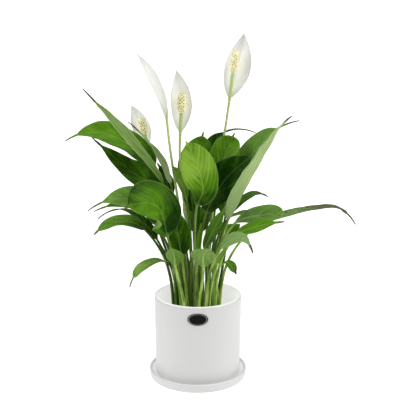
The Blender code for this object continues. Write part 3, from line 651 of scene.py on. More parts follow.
def glaze_finish(name, colour):
    """Glossy white glaze: faint clouds, pin-holes and a soft orange-peel in its gloss.

    The mesh gives how strongly each point glows with painted white light, which it does inside the
    ware and on its rim and lip.
    """
    finish = Finish(name)
    # inside: how strongly this point glows with painted white light
    inside = finish.values("glaze_place")[0]
    colour = finish.blend(finish.noise(26.0), colour, times(colour, 0.985))
    specks = finish.between(finish.cells(420.0), 0.035, 0.10, 1.0, 0.0)
    specks = specks * finish.between(finish.noise(60.0, 2.0), 0.60, 0.70)
    return finish.wear(
        Base_Color=finish.blend(0.35 * specks, colour, PIN_HOLE),
        Roughness=finish.between(finish.noise(14.0, 4.0), 0.3, 0.8, 0.36, 0.44),
        Normal=finish.bump(finish.noise(150.0, 2.0), 0.00006, 0.3),
        Specular_IOR_Level=0.30,
        # Painted glow: white light painted as emission inside the ware and on its rim
        Emission_Color=finish.blend(inside, (0.0, 0.0, 0.0), PAINTED_GLOW_WHITE),
        Emission_Strength=PAINTED_GLOW_STRENGTH)


def label_finish(black):
    """Glossy black paper with a thin plain pale line near its edge.

    The mesh gives the share of the way from the sticker's middle to its edge.
    """
    finish = Finish("black_sticker")
    share = finish.values("label_place")[0]
    line = finish.between(share, 0.835, 0.85) * finish.between(share, 0.88, 0.895, 1.0, 0.0)
    ground = finish.blend(finish.noise(220.0), black, times(black, 2.2))
    return finish.wear(
        Base_Color=finish.blend(line, ground, STICKER_LINE),
        Roughness=finish.between(finish.noise(90.0), 0.3, 0.7, 0.26, 0.42),
        Normal=finish.bump(line, 0.00006, 0.6),
        Specular_IOR_Level=0.06)


def peat_finish(peat):
    """Damp dark peat with lighter fibres and crumbs."""
    finish = Finish("damp_peat")
    crumbs = finish.noise(420.0, 5.0, 0.7)
    clods = finish.noise(90.0)
    fibres = finish.between(finish.cells(300.0, "DISTANCE_TO_EDGE"), 0.0, 0.08, 1.0, 0.0)
    colour = finish.blend(clods, peat, times(peat, 2.1))
    colour = finish.blend(finish.between(crumbs, 0.55, 0.75), colour, PEAT_CRUMB)
    return finish.wear(
        Base_Color=finish.blend(0.3 * fibres, colour, PEAT_FIBRE),
        Roughness=finish.between(clods, 0.3, 0.7, 0.72, 0.95),
        Normal=finish.bump(crumbs, 0.0012, 0.8))


def perlite_finish():
    """Chalky white perlite with a dusting of peat in its pits."""
    finish = Finish("perlite")
    pits = finish.noise(900.0, 4.0, 0.65)
    return finish.wear(
        Base_Color=finish.blend(finish.between(pits, 0.45, 0.62, 1.0, 0.0), PERLITE_WHITE,
                                PERLITE_PIT),
        Roughness=finish.between(pits, 0.3, 0.7, 0.82, 0.97),
        Normal=finish.bump(pits, 0.0004, 0.8))


def leaf_finish(settings):
    """Leaf skin: glossy green above, pale and matt below, with veins, and its petiole.

    The mesh gives each point's distance from the midrib and along the blade in mm and its place
    between two side veins; whether it is on the upper face and on the petiole, and its share of
    the blade's length; its shade, partly painted shade, its paleness, partly painted light, and
    its petiole's shade, partly painted shade; how clear its veins are, how dry it is and its share
    of the way from midrib to edge.
    """
    finish = Finish("leaf_skin")
    aside, along, phase = finish.values("leaf_vein")
    above, stem, share = finish.values("leaf_face")
    shade, pale, stem_shade = finish.values("leaf_tone")
    clear, dry, edge = finish.values("leaf_marks")
    flecks = finish.noise(260.0)
    distance = abs(aside)
    grain = finish.noise(1.0, 3.0, 0.6, finish.spot(0.32 * aside, 0.022 * along))
    # Broad bands between the veins, lighter and darker, partly painted sheen
    bands_and_sheen = finish.noise(1.0, 2.0, 0.5, finish.spot(0.62 * phase, 0.035 * distance))
    threads = finish.noise(1.0, 2.0, 0.6, finish.spot(4.2 * phase, 0.09 * distance))
    # Side veins: a thin pale line on each, painted light on the slope above it and painted shade
    # on the one below
    slope = finish.math("FRACT", phase) - 0.5
    lit = finish.chance(finish.spot(finish.math("ROUND", phase)))
    open_blade = clear * finish.between(distance, 0.5, 2.5)
    open_blade = open_blade * finish.between(share, 0.15, 0.50, 0.25, 1.0)
    line = finish.between(abs(slope), 0.42, 0.485) * open_blade
    line = line * finish.between(lit, 0.0, 1.0, 0.35, 1.0)
    # Upper face: from bright over middle to dark green by its shade, partly painted shade, with
    # broad bands of partly painted sheen between the veins, and its midrib and its veins paler
    depth = (shade + finish.between(finish.noise(38.0, 4.0), 0.25, 0.75, -0.10, 0.10)
             + finish.between(bands_and_sheen, 0.25, 0.75, 0.13, -0.13)
             + finish.between(threads, 0.25, 0.75, 0.05, -0.05)
             + 0.22 * (slope * open_blade))
    lighter = finish.blend(finish.between(depth, 0.0, 0.5), settings.bright, settings.middle)
    upper = finish.blend(finish.between(depth, 0.5, 1.0), lighter, settings.dark)
    upper = finish.blend(line, upper, finish.blend(0.50, upper, VEIN_ABOVE))
    ratio = distance / finish.between(share, 0.0, 1.0, 1.25, 0.30)
    midrib = finish.between(ratio, 0.55, 1.25, 1.0, 0.0)
    upper = finish.blend(midrib * (0.85 - 0.62 * shade), upper, MIDRIB_ABOVE)
    # Lower face: pale and striped, darker by its shade, partly painted shade, with its midrib
    # paler still and its veins darker
    lower = finish.blend(finish.between(grain, 0.34, 0.66), settings.underside,
                         times(settings.underside, 0.50))
    lower = finish.blend(0.45 * line, lower, VEIN_BELOW)
    lower = finish.blend(finish.between(shade, 0.0, 1.0), lower, SHADED_BELOW)
    ridge = finish.between(ratio, 1.0, 1.9, 1.0, 0.0)
    lower = finish.blend(ridge * (0.65 - 0.45 * shade), lower, RIDGE_BELOW)
    colour = finish.blend(above, lower, upper)
    colour = finish.blend(0.08 * finish.between(flecks, 0.52, 0.72), colour, LEAF_FLECK)
    # A paler edge: partly the leaf's own margin and partly a painted rim highlight
    colour = finish.blend(0.22 * finish.between(edge, 0.93, 1.0), colour, PALE_EDGE_AND_HIGHLIGHT)
    # Pale green: partly the leaf's own paleness and partly painted light
    colour = finish.blend(pale, colour, PALE_AND_LIT_GREEN)
    # Dry tips turn olive, then brown
    patchy = dry + finish.between(flecks, 0.3, 0.7, -0.10, 0.10)
    colour = finish.blend(finish.between(patchy, 0.15, 0.50), colour, LEAF_OLIVE)
    colour = finish.blend(finish.between(patchy, 0.50, 0.90), colour, LEAF_BROWN)
    # Petiole: yellow green, darker by painted shade on the shaded ones, with dark streaks, partly
    # painted shade, and painted highlights as pale streaks along its length
    tube = finish.blend(stem_shade, settings.petiole, PETIOLE_SHADED)
    tube = finish.blend(finish.between(grain, 0.42, 0.66, 0.0, 0.75), tube, PETIOLE_DARK_STREAK)
    tube = finish.blend(finish.between(grain, 0.42, 0.28, 0.0, 0.50), tube, PETIOLE_PAINTED_HIGHLIGHT)
    # Gloss: the upper face shines more than the lower one
    net = finish.between(finish.cells(520.0, "DISTANCE_TO_EDGE"), 0.0, 0.12)
    return finish.wear(
        Base_Color=finish.blend(stem, colour, tube),
        Roughness=finish.between(flecks, 0.3, 0.7, 0.30, 0.40) + 0.25 * (1.0 - above),
        Normal=finish.bump(line, 0.00012, 0.6, finish.bump(net, 0.00005, 0.3)),
        Specular_IOR_Level=0.14, Specular_Tint=(0.60, 1.0, 0.25),
        Subsurface_Weight=0.08, Subsurface_Radius=(0.6, 1.0, 0.25), Subsurface_Scale=0.002)


def spathe_finish(white):
    """A spathe: thin white tissue that lets light through, with fine long veins.

    It is greener at its base and tip, and greyed by painted shade in its folds. The mesh gives
    each point's place across the spathe and along it and its place between two veins, and how much
    painted shade greys it.
    """
    finish = Finish("spathe_tissue")
    aside, share, phase = finish.values("spathe_place")
    painted_shade = finish.values("spathe_tone")[0]
    clouds = finish.noise(45.0)
    colour = finish.blend(finish.between(clouds, 0.3, 0.7), white, times(white, 0.97))
    veins = finish.between(abs(finish.math("FRACT", phase) - 0.5), 0.28, 0.48)
    colour = finish.blend(0.10 * veins, colour, SPATHE_VEIN)
    colour = finish.blend(0.22 * finish.between(abs(aside), 0.02, 0.09, 1.0, 0.0), colour,
                          SPATHE_MIDRIB)
    streaks = finish.noise(1.0, 3.0, 0.6, finish.spot(7.0 * aside, 2.0 * share))
    colour = finish.blend(painted_shade * finish.between(streaks, 0.25, 0.75, 0.45, 1.0), colour,
                          SPATHE_PAINTED_SHADE)
    colour = finish.blend(0.40 * finish.between(share, 0.02, 0.14, 1.0, 0.0), colour, SPATHE_BASE)
    colour = finish.blend(0.4 * finish.between(share, 0.93, 1.0), colour, SPATHE_TIP)
    # Painted glow: the spathe glows a little in its own colour, for light shining through it
    return finish.wear(
        Base_Color=colour, Emission_Color=colour, Emission_Strength=SPATHE_PAINTED_GLOW,
        Roughness=finish.between(clouds, 0.3, 0.7, 0.42, 0.58),
        Normal=finish.bump(veins, 0.00010, 0.4), Specular_IOR_Level=0.2,
        Subsurface_Weight=0.35, Subsurface_Radius=(1.0, 1.0, 0.85), Subsurface_Scale=0.0025)


def spadix_finish(cream):
    """A spadix: cream florets, an olive dot on each and olive seams between them.

    The mesh gives each point's place along the florets' two slanting rows, where a floret
    stands between two whole numbers.
    """
    finish = Finish("cream_florets")
    one, two = finish.values("floret_place")[:2]
    off_one = finish.math("FRACT", one) - 0.5
    off_two = finish.math("FRACT", two) - 0.5
    reach = finish.math("SQRT", off_one * off_one + off_two * off_two)
    clouds = finish.noise(160.0)
    chance = finish.chance(finish.spot(finish.math("FLOOR", one), finish.math("FLOOR", two)))
    colour = finish.blend(finish.between(clouds, 0.35, 0.65), cream, times(cream, 0.86))
    colour = finish.blend(0.40 * finish.between(reach, 0.44, 0.64), colour, FLORET_SEAM)
    dot = finish.between(reach, 0.18, 0.34, 1.0, 0.0)
    dot = dot * finish.between(chance, 0.30, 0.60, 0.05, 1.0)
    colour = finish.blend(dot, colour, FLORET_DOT)
    # Painted glow: the florets glow a little in their own colour
    return finish.wear(
        Base_Color=colour, Emission_Color=colour, Emission_Strength=SPADIX_PAINTED_GLOW,
        Roughness=finish.between(clouds, 0.3, 0.7, 0.60, 0.82),
        Normal=finish.bump(finish.noise(1400.0, 2.0), 0.0001, 0.5), Specular_IOR_Level=0.15)


def stalk_finish(green):
    """A flower stalk: pale yellow green with fine long streaks, deeper at its foot.

    The mesh gives each point's share of the way round the stalk and along it.
    """
    finish = Finish("stalk_skin")
    turn, share = finish.values("stalk_place")[:2]
    flecks = finish.noise(240.0)
    colour = finish.blend(finish.between(flecks, 0.35, 0.7), green, times(green, 0.82))
    colour = finish.blend(0.6 * finish.between(share, 0.25, 0.75, 1.0, 0.0), colour, STALK_FOOT)
    streak = finish.between(abs(finish.math("FRACT", 9.0 * turn) - 0.5), 0.30, 0.48)
    return finish.wear(
        Base_Color=finish.blend(0.25 * streak, colour, STALK_STREAK),
        Roughness=finish.between(flecks, 0.3, 0.7, 0.38, 0.52),
        Normal=finish.bump(streak, 0.00008, 0.5), Specular_IOR_Level=0.35,
        Subsurface_Weight=0.08, Subsurface_Radius=(0.8, 1.0, 0.4), Subsurface_Scale=0.001)


def plain_white(name, colour, glow):
    """A plain matt finish that also glows a little."""
    return Finish(name).wear(Base_Color=colour, Roughness=0.9, Specular_IOR_Level=0.0,
                             Emission_Color=(1.0, 1.0, 1.0), Emission_Strength=glow)


# Pot, saucer, sticker and soil

def corner(centre, radius, start, end, steps=10):
    """Points of a round corner: centre + radius * (cos, sin) from one angle to another."""
    angles = np.radians(np.linspace(start, end, steps))
    return np.stack([centre[0] + radius * np.cos(angles),
                     centre[1] + radius * np.sin(angles)], -1)


def straight(start, end, steps):
    """Points of a straight line, without its two ends."""
    shares = np.linspace(0.0, 1.0, steps + 2)[1:-1, None]
    return (1.0 - shares) * np.array(start) + shares * np.array(end)


def turned_rings(profile, uneven=0.0):
    """A profile of (radius, height) points carried round the axis.

    The radius is swelled by uneven times a slow wave of the angle and height, as a wall
    that was cast and sponged by hand is.
    """
    angles = full_turn(TURN_SEGMENTS)
    radius, height = profile[:, :1], profile[:, 1:]
    swell = (np.sin(2.0 * angles + 0.7 + 9.0 * height)
             + 0.6 * np.sin(5.0 * angles - 22.0 * height)
             + 0.5 * np.sin(60.0 * height + angles))
    return round_axis(radius + uneven * swell, angles, height)


def pot_radius(height, settings):
    """The pot's outer radius at a height: a slight straight taper."""
    base = SAUCER_FLOOR + TOUCH_GAP
    share = (height - base) / (settings.rim_height - base)
    return POT_BASE_RADIUS + (settings.rim_radius - POT_BASE_RADIUS) * share


def saucer(settings):
    """The saucer: a flat foot, an upright rounded wall, a round lip and a coved floor."""
    lip = SAUCER_LIP
    rim, height = settings.saucer_radius, settings.saucer_height
    inner = rim - SAUCER_WALL
    outside = [corner((SAUCER_FOOT_RADIUS - lip, lip), lip, -90.0, 0.0),
               straight((SAUCER_FOOT_RADIUS, lip), (rim, height - lip), 6)]
    over_lip = [corner((rim - lip, height - lip), lip, 0.0, 90.0),
                corner((inner + lip, height - lip), lip, 90.0, 180.0)]
    inside = [straight((inner, height - lip), (inner, SAUCER_FLOOR + lip), 4),
              corner((inner - lip, SAUCER_FLOOR + lip), lip, 0.0, -90.0),
              straight((inner - lip, SAUCER_FLOOR), (SAUCER_HUB, SAUCER_FLOOR), 8)]
    rings = turned_rings(np.vstack(outside + over_lip + inside))
    points, faces = closed_skin(rings, (0.0, 0.0, 0.0), (0.0, 0.0, SAUCER_FLOOR))
    # Painted glow: the lip glows a little with painted white light from its fifth ring on, and the
    # saucer's inside glows more
    first_glowing = sum(map(len, outside)) + 4
    first_inside = sum(map(len, outside + over_lip))
    painted_glow = np.repeat((0.0, PAINTED_GLOW_ON_SAUCER_LIP, PAINTED_GLOW_IN_SAUCER),
                       (first_glowing, first_inside - first_glowing, len(rings) - first_inside))
    return new_piece("saucer_glazed", points, faces,
                     glaze_finish("white_saucer_glaze", settings.glaze),
                     glaze_place=with_ends(on_rings(rings, painted_glow[:, None])))


def pot(settings):
    """The pot: a tapered wall with a rounded rim, a foot ring and a drain hole."""
    base = SAUCER_FLOOR + TOUCH_GAP
    floor = base + POT_FLOOR
    lip = POT_WALL / 2.0
    foot = POT_BASE_RADIUS - POT_FOOT_WIDTH
    inner = pot_radius(floor, settings) - POT_WALL
    rim, height = settings.rim_radius, settings.rim_height
    profile = np.vstack([
        [(POT_DRAIN_RADIUS, base + POT_FOOT_LIFT), (foot, base + POT_FOOT_LIFT),
         (foot + POT_FOOT_LIFT, base)],
        corner((POT_BASE_RADIUS - POT_CORNER, base + POT_CORNER), POT_CORNER, -90.0, 0.0),
        straight((POT_BASE_RADIUS, base + POT_CORNER), (rim, height - lip), 30),
        corner((rim - lip, height - lip), lip, 0.0, 180.0, 18),
        straight((rim - 2.0 * lip, height - lip), (inner, floor + POT_CORNER), 24),
        corner((inner - POT_CORNER, floor + POT_CORNER), POT_CORNER, 0.0, -90.0, 6),
        [(POT_DRAIN_RADIUS, floor)]])
    rings = turned_rings(profile, POT_UNEVENNESS)
    faces = grid_faces(len(rings), TURN_SEGMENTS, joined=True)
    # Painted white light glows on the inner wall and on the rim, down to the soil
    on_wall = rising(rim - profile[:, 0], 0.2 * POT_WALL, 0.9 * POT_WALL)
    on_rim = PAINTED_GLOW_ON_POT_RIM * rising(profile[:, 1], height - 0.6 * lip, height)
    over_soil = rising(profile[:, 1], SOIL_TOP - 0.004, SOIL_TOP + 0.002)
    painted_glow = np.maximum(on_wall, on_rim) * over_soil
    return new_piece("pot_glazed", rings.reshape(-1, 3), faces,
                     glaze_finish("white_pot_glaze", settings.glaze),
                     glaze_place=on_rings(rings, painted_glow[:, None]))


def label(settings):
    """The oval sticker, bent round the pot's front.

    A point at share q of the way to the edge, at turn t, lies at q * (half width * cos t,
    half height * sin t) on the unrolled wall. The border line is raised a little.
    """
    shares = np.concatenate([np.linspace(0.04, 0.97, LABEL_RINGS - 2), [0.99, 1.0]])
    lifts = (TOUCH_GAP + LABEL_THICKNESS - LABEL_EDGE_DROP * rising(shares, 0.96, 1.0)
             + LABEL_LINE_RISE * rising(shares, 0.83, 0.86) * falling(shares, 0.87, 0.90))
    # Two rings on the back, then the front's from its edge to its middle
    shares = np.concatenate([(0.5, 1.0), shares[::-1]])[:, None]
    lifts = np.concatenate([(TOUCH_GAP, TOUCH_GAP), lifts[::-1]])[:, None]
    turns = full_turn(LABEL_SIDES)
    across = settings.label_width / 2.0 * shares * np.cos(turns)
    height = LABEL_HEIGHT_ON_POT + settings.label_height / 2.0 * shares * np.sin(turns)
    wall = pot_radius(height, settings)
    rings = round_axis(wall + lifts, across / wall - math.pi / 2.0, height)
    back = pot_radius(LABEL_HEIGHT_ON_POT, settings) + TOUCH_GAP
    points, faces = closed_skin(rings, (0.0, -back, LABEL_HEIGHT_ON_POT),
                                (0.0, -(back + LABEL_THICKNESS), LABEL_HEIGHT_ON_POT))
    return new_piece("label_sticker", points, faces, label_finish(settings.label_black),
                     label_place=with_ends(on_rings(rings, shares)))


def soil(settings):
    """The potting soil: a domed top of clods and crumbs, down the pot to its floor.

    Clods rise by the size of a slow seeded wave and crumbs by a quick one, both fading out
    at the pot's wall, where the top also drops a little.
    """
    fit = POT_WALL + TOUCH_GAP
    floor = SAUCER_FLOOR + 2.0 * TOUCH_GAP + POT_FLOOR
    edge = pot_radius(SOIL_TOP, settings) - fit
    low_edge = pot_radius(floor, settings) - fit
    radii = edge * np.sqrt(np.linspace(0.0, 1.0, SOIL_RINGS + 1)[1:])[:, None]
    turns = full_turn(SOIL_SIDES)
    flat = np.stack([radii * np.cos(turns), radii * np.sin(turns)], -1)
    rest = rising(radii, 0.80 * edge, edge)
    relief = (CLOD_HEIGHT * np.abs(waves(flat, CLOD_LENGTHS, CLOD_SEED))
              + CRUMB_HEIGHT * waves(flat, CRUMB_LENGTHS, CRUMB_SEED))
    heights = SOIL_TOP + SOIL_DOME - SOIL_EDGE_DROP * rest + relief * (1 - rest)
    top = round_axis(radii, turns, heights)
    lows = np.array([(low_edge - POT_CORNER, floor), (low_edge, floor + POT_CORNER),
                     (edge, SOIL_TOP - SOIL_SIDE_DROP)])
    sides = round_axis(lows[:, :1], turns, lows[:, 1:])
    points, faces = closed_skin(np.concatenate([sides, top[::-1]]), (0.0, 0.0, floor),
                                (0.0, 0.0, SOIL_TOP + SOIL_DOME))
    return new_piece("soil_crumbs", points, faces, peat_finish(settings.peat))


def perlite():
    """White perlite crumbs on the soil: squashed balls, each with its own dents.

    A ball's points are the directions of a grid of 5 by 9 and its two poles, turned at
    random and swelled along random directions. The crumbs stand on a sunflower spiral that
    is shaken a little.
    """
    dice = np.random.default_rng(PERLITE_SEED)
    rows, sides, count = PERLITE_ROWS, PERLITE_SIDES, PERLITE_COUNT
    tilt = np.linspace(-0.8, 0.8, rows)[:, None] * (math.pi / 2.0)
    rings = round_axis(np.cos(tilt), full_turn(sides), np.sin(tilt))
    ball, ball_faces = closed_skin(rings, (0.0, 0.0, -1.0), (0.0, 0.0, 1.0))
    ways = unit(dice.normal(size=(count, PERLITE_DENTS, 3)))
    dents = np.sum(np.maximum(np.einsum("pk,cwk->cpw", ball, ways), 0.0)**3, -1)
    sizes = dice.uniform(*PERLITE_SIZES, (count, 1, 1))
    spin = np.linalg.qr(dice.normal(size=(count, 3, 3)))[0]
    spin = spin * np.sign(np.linalg.det(spin))[:, None, None]
    squash = dice.uniform(0.7, 1.2, (count, 1, 3))
    crumbs = np.einsum("cpk,ckl->cpl", ball[None] * squash * (1.0 + 0.5 * dents[..., None]), spin)
    index = np.arange(count)
    radius = PERLITE_SPREAD * np.sqrt((index + 0.5) / count) + dice.normal(0.0, 0.0015, count)
    angle = index * GOLDEN_ANGLE + dice.normal(0.0, 0.10, count)
    height = SOIL_TOP + 0.0012 - 0.003 * rising(radius, 0.05, 0.06)
    points = crumbs * sizes + round_axis(radius, angle, height)[:, None]
    faces = [[spot + first for spot in face]
             for first in range(0, count * len(ball), len(ball)) for face in ball_faces]
    return new_piece("perlite_crumbs", points.reshape(-1, 3), faces, perlite_finish())


# Leaves and blooms

def arch(start, end, leave, arrive, shares):
    """Points and directions on a Hermite curve between two points."""
    chord = np.linalg.norm(end - start)
    t = np.asarray(shares, float)[:, None]
    leave, arrive = leave * chord, arrive * chord
    points = ((2 * t**3 - 3 * t**2 + 1) * start + (t**3 - 2 * t**2 + t) * leave
              + (3 * t**2 - 2 * t**3) * end + (t**3 - t**2) * arrive)
    slopes = ((6 * t**2 - 6 * t) * start + (3 * t**2 - 4 * t + 1) * leave
              + (6 * t - 6 * t**2) * end + (3 * t**2 - 2 * t) * arrive)
    return points, unit(slopes)


def blade_line(neck, crest, tip, leave, shares):
    """A blade's centreline: over the crest to the tip, as two arches that join."""
    over = unit(tip - neck)
    fall = unit(2.0 * unit(tip - crest) - over)
    rise_length = np.linalg.norm(crest - neck)
    split = rise_length / (rise_length + np.linalg.norm(tip - crest))
    first, second = shares[shares < split], shares[shares >= split]
    rise = arch(neck, crest, leave, over, first / split)
    drop = arch(crest, tip, over, fall, (second - split) / (1.0 - split))
    return np.vstack([rise[0], drop[0]]), np.vstack([rise[1], drop[1]])


def stem_ground(place):
    """The point just over the soil where a stem on the sunflower spiral starts to lean."""
    radius = STEM_SPREAD * math.sqrt((place + 0.5) / STEM_PLACES)
    angle = place * GOLDEN_ANGLE
    return np.array([radius * math.cos(angle), radius * math.sin(angle), SOIL_TOP + STEM_CLEAR])


def rooted_line(place, neck, leave, steps):
    """A stem's centreline: straight up out of its hole, then leaning to its neck."""
    ground = stem_ground(place)
    up = np.array([0.0, 0.0, 1.0])
    foot = ground - up * (STEM_CLEAR + STEM_DEPTH)
    points, slopes = arch(ground, neck, STEM_UPRIGHT * up, leave, np.linspace(0.0, 1.0, steps + 1))
    return np.vstack([foot, points]), np.vstack([up, slopes])


def facing(slopes, looks):
    """The way that a blade's upper face looks: looks, made square to each slope."""
    return unit(looks - np.sum(looks * slopes, axis=1, keepdims=True) * slopes)


def carried_down(slopes, upper):
    """The same for a stem below its neck, without a twist between one slope and the next."""
    carried = []
    for slope in slopes[::-1]:
        upper = unit(upper - np.dot(upper, slope) * slope)
        carried.append(upper)
    return np.array(carried[::-1])


def oval(shares, fullness, widest):
    """A pointed oval's half width, one where it is widest.

    It is s^a (1 - s)^b over its largest value, with a + b = fullness and a = fullness * widest.
    """
    base_power, tip_power = fullness * widest, fullness * (1.0 - widest)
    peak = widest**base_power * (1.0 - widest)**tip_power
    return shares**base_power * (1.0 - shares)**tip_power / peak


def side_columns(count):
    """Places across a blade from -1 to 1, closer together beside the midrib."""
    even = np.linspace(-1.0, 1.0, count)
    return 0.35 * even + 0.65 * even**3


def both_faces(values):
    """Values across a blade for its upper face, then back across its lower face."""
    return np.concatenate([values, values[:, ::-1]], 1)


def on_section(points, slopes, upper, across, rise):
    """Points at (across, rise) from each centreline point, in the blade's own section."""
    right = np.cross(slopes, upper)
    return points[:, None] + across[..., None] * right[:, None] + rise[..., None] * upper[:, None]


def round_section(radii, sides, groove):
    """A round section, with a groove along its upper side of a share of its radius."""
    turns = math.pi * (1.0 - (2.0 * np.arange(sides) + 1.0) / sides)
    reach = radii[:, None] * (1.0 - groove * np.maximum(np.sin(turns), 0.0)**5)
    return reach * np.cos(turns), reach * np.sin(turns)


def side_veins(along, distance, right, width, widest_half, spacing):
    """Each point's place between the side veins, where a vein is a whole number.

    It is (along - a d - b d^2 / widest half) / spacing at d from the midrib, so the veins
    leave the midrib slanting and bend towards the tip. Narrow leaves have more and steeper
    veins, and the right half's stand off a little from the left half's.
    """
    spacing = spacing * (0.75 + 0.25 * min(width / 5.0, 1.4))
    slant = 1.15 + 0.9 * max(0.0, 1.0 - width / 4.5)
    bend = slant * distance + VEIN_BEND * distance**2 / np.maximum(widest_half, 0.004)
    return (along[:, None] - bend) / spacing + VEIN_OFFSET * right


def edge_waves(shares, along, columns, waved, drip, place):
    """The waves along a blade's edges, as a share of its half width.

    It is a sine with that many waves from base to tip, opposite on the two edges, and a
    finer seeded flutter. Both grow with the square of the way from midrib to edge. The
    sine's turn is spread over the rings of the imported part's blades, to lie on its waves.
    """
    stations = np.append((1.0 - drip) * np.array(CAD_STATIONS), [1.0 - 0.5 * drip, 1.0])
    turn = np.interp(shares, stations, np.linspace(0.0, 1.0, len(stations)))
    ripple = np.sin(2.0 * math.pi * waved * turn)[:, None] * np.sign(columns) * columns**2
    spots = np.stack([along, 0.3 * along], -1) + place
    flutter = FLUTTER_HEIGHT * waves(spots, FLUTTER_LENGTHS, place)
    return ripple * WAVE_HEIGHT + flutter[:, None] * columns**2


def leaf(row, settings, finish):
    """A whole leaf as one closed skin: its petiole from the soil, then its blade.

    Across the blade at share c of the half width h, the upper face lies at
    h sin(cup) (|c|^1.35 - 0.45) plus the edge's waves, soft pillows, the swells between the
    side veins and the midrib's groove. The lower face follows it with the midrib's rib under
    it. The petiole's round section turns into that section over the blade's base.
    """
    name, place, neck, crest, tip, width, widest, looks, cup, waved, drip, tones = row
    neck, crest, tip = (np.array(spot) * CM for spot in (neck, crest, tip))
    leave = unit(unit(neck - stem_ground(place)) + unit(crest - neck))
    stem, stem_slopes = rooted_line(place, neck, leave, PETIOLE_STATIONS)
    length = np.linalg.norm(crest - neck) + np.linalg.norm(tip - crest)
    shares = np.linspace(0.0, 1.0, int(max(LEAST_STATIONS, length / BLADE_STEP)))
    blade, blade_slopes = blade_line(neck, crest, tip, leave, shares)
    blade_upper = facing(blade_slopes, np.array(looks))
    stem_upper = carried_down(stem_slopes, blade_upper[0])
    # Half widths: an oval that never gets thinner than the drip tip
    body = 1.0 - drip
    halves = 0.5 * width * CM * oval(np.minimum(shares / body, 1.0), LEAF_FULLNESS, widest)
    least = (PETIOLE_NECK_RADIUS, 0.5 * DRIP_WIDTH, 0.5 * LEAF_TIP_WIDTH)
    halves = np.maximum(halves, np.interp(shares, (0.0, body, 1.0), least))
    along = walked(blade)
    columns = side_columns(BLADE_SIDE_POINTS)
    aside = halves[:, None] * columns
    distance = np.abs(aside)
    # Swells between the side veins, the midrib's rib and its groove
    phase = side_veins(along, distance, columns > 0.0, width, halves.max(), settings.vein_spacing)
    size = min(1.0, halves.max() / FULL_RELIEF_WIDTH)
    shade_base, shade_tip, shade_side, pale, clear, stem_shade, dry, dry_from = tones
    swell = (settings.vein_relief * size * (0.3 + 0.7 * clear)
             * (np.abs(np.sin(math.pi * phase))**0.8 - 0.6))
    swell = swell * rising(distance, 0.0008, 0.0045) * falling(np.abs(columns), 0.90, 1.0)
    rib = np.interp(shares, (0.0, 0.5, 1.0), RIB_RADII)[:, None]
    groove = -0.45 * rib * np.exp(-(distance / (0.85 * rib))**2)
    # The section's height: cup, waves and pillows, then its two faces
    angle = math.radians(cup)
    body_fade = (rising(shares, 0.02, 0.12) * falling(shares, 0.80 * body, body))[:, None]
    cupped = math.sin(angle) * (np.abs(columns)**CUP_POWER - CUP_SINK)
    rise = halves[:, None] * (cupped + edge_waves(shares, along, columns, waved, drip, place))
    pillows = waves(np.stack(np.broadcast_arrays(along[:, None], aside), -1), PILLOW_LENGTHS,
                    place + PILLOW_SEED)
    rise = rise + PILLOW_HEIGHT * size * pillows * body_fade
    thick = 0.5 * LEAF_THICKNESS * (1.0 - 0.55 * columns**6)
    rolled = rising(shares, 0.90 * body, 1.04 * body)[:, None]
    thick = np.maximum(thick, 0.80 * rolled * halves[:, None] * np.sqrt(1.0 - 0.96 * columns**2))
    top = rise + thick + (swell + groove) * body_fade
    under = rise - thick + (swell - 0.9 * rib * np.exp(-(distance / rib)**2)) * body_fade
    # The petiole's section, also under the blade's base, where one turns into the other
    sides = 2 * BLADE_SIDE_POINTS
    radii = np.linspace(PETIOLE_FOOT_RADIUS, PETIOLE_NECK_RADIUS, PETIOLE_STATIONS + 1)
    radii = np.concatenate([radii[:1], radii])
    depth = np.linspace(0.0, PETIOLE_GROOVE, len(radii))[:, None]
    stem_across, stem_rise = round_section(radii, sides, depth)
    neck_across, neck_rise = round_section(np.full(len(shares), PETIOLE_NECK_RADIUS), sides,
                                           PETIOLE_GROOVE)
    reached = rising(shares, 0.0, PETIOLE_INTO_BLADE)[:, None]
    across = (1.0 - reached) * neck_across + reached * both_faces(aside * math.cos(angle))
    faces_rise = np.concatenate([top, under[:, ::-1]], 1)
    rise = (1.0 - reached) * neck_rise + reached * faces_rise
    rings = np.concatenate([
        on_section(stem, stem_slopes, stem_upper, stem_across, stem_rise)[:-1],
        on_section(blade, blade_slopes, blade_upper, across, rise)])
    points, faces = closed_skin(rings, stem[0], blade[-1] + LEAF_END * blade_slopes[-1])
    # What the finish reads, with the petiole's rings before the blade's
    stems = len(rings) - len(shares)
    vein, face, tone, marks = (np.zeros(rings.shape) for _ in range(4))
    vein[:stems, :, 0] = stem_across[:stems] * 1000.0 + 7.0 * place
    vein[stems:, :, 0] = both_faces(aside) * 1000.0
    vein[:, :, 1] = np.concatenate([np.linspace(-180.0, 0.0, stems), along * 1000.0])[:, None]
    vein[stems:, :, 2] = both_faces(phase) + PATTERN_START
    face[:, :BLADE_SIDE_POINTS, 0] = 1.0
    face[:stems, :, 1] = 1.0
    face[stems:, :, 1] = 1.0 - rising(shares, 0.0, 0.10)[:, None]
    face[stems:, :, 2] = shares[:, None]
    across = both_faces(np.broadcast_to(columns, aside.shape))
    # Shade: the leaf's own darkness plus painted shade, which is deepest at the base and on the
    # right half
    tone[...] = shade_base, pale, stem_shade
    tone[stems:, :, 0] += (shade_tip - shade_base) * rising(shares, 0.0, 0.60)[:, None]
    tone[stems:, :, 0] += shade_side * across
    marks[..., 0] = clear
    marks[stems:, :, 1] = dry * rising(shares, dry_from - 0.05, 1.0)[:, None]
    marks[stems:, :, 2] = np.abs(across)
    return new_piece(name + "_leaf", points, faces, finish, leaf_vein=with_ends(vein),
                     leaf_face=with_ends(face), leaf_tone=with_ends(tone),
                     leaf_marks=with_ends(marks))


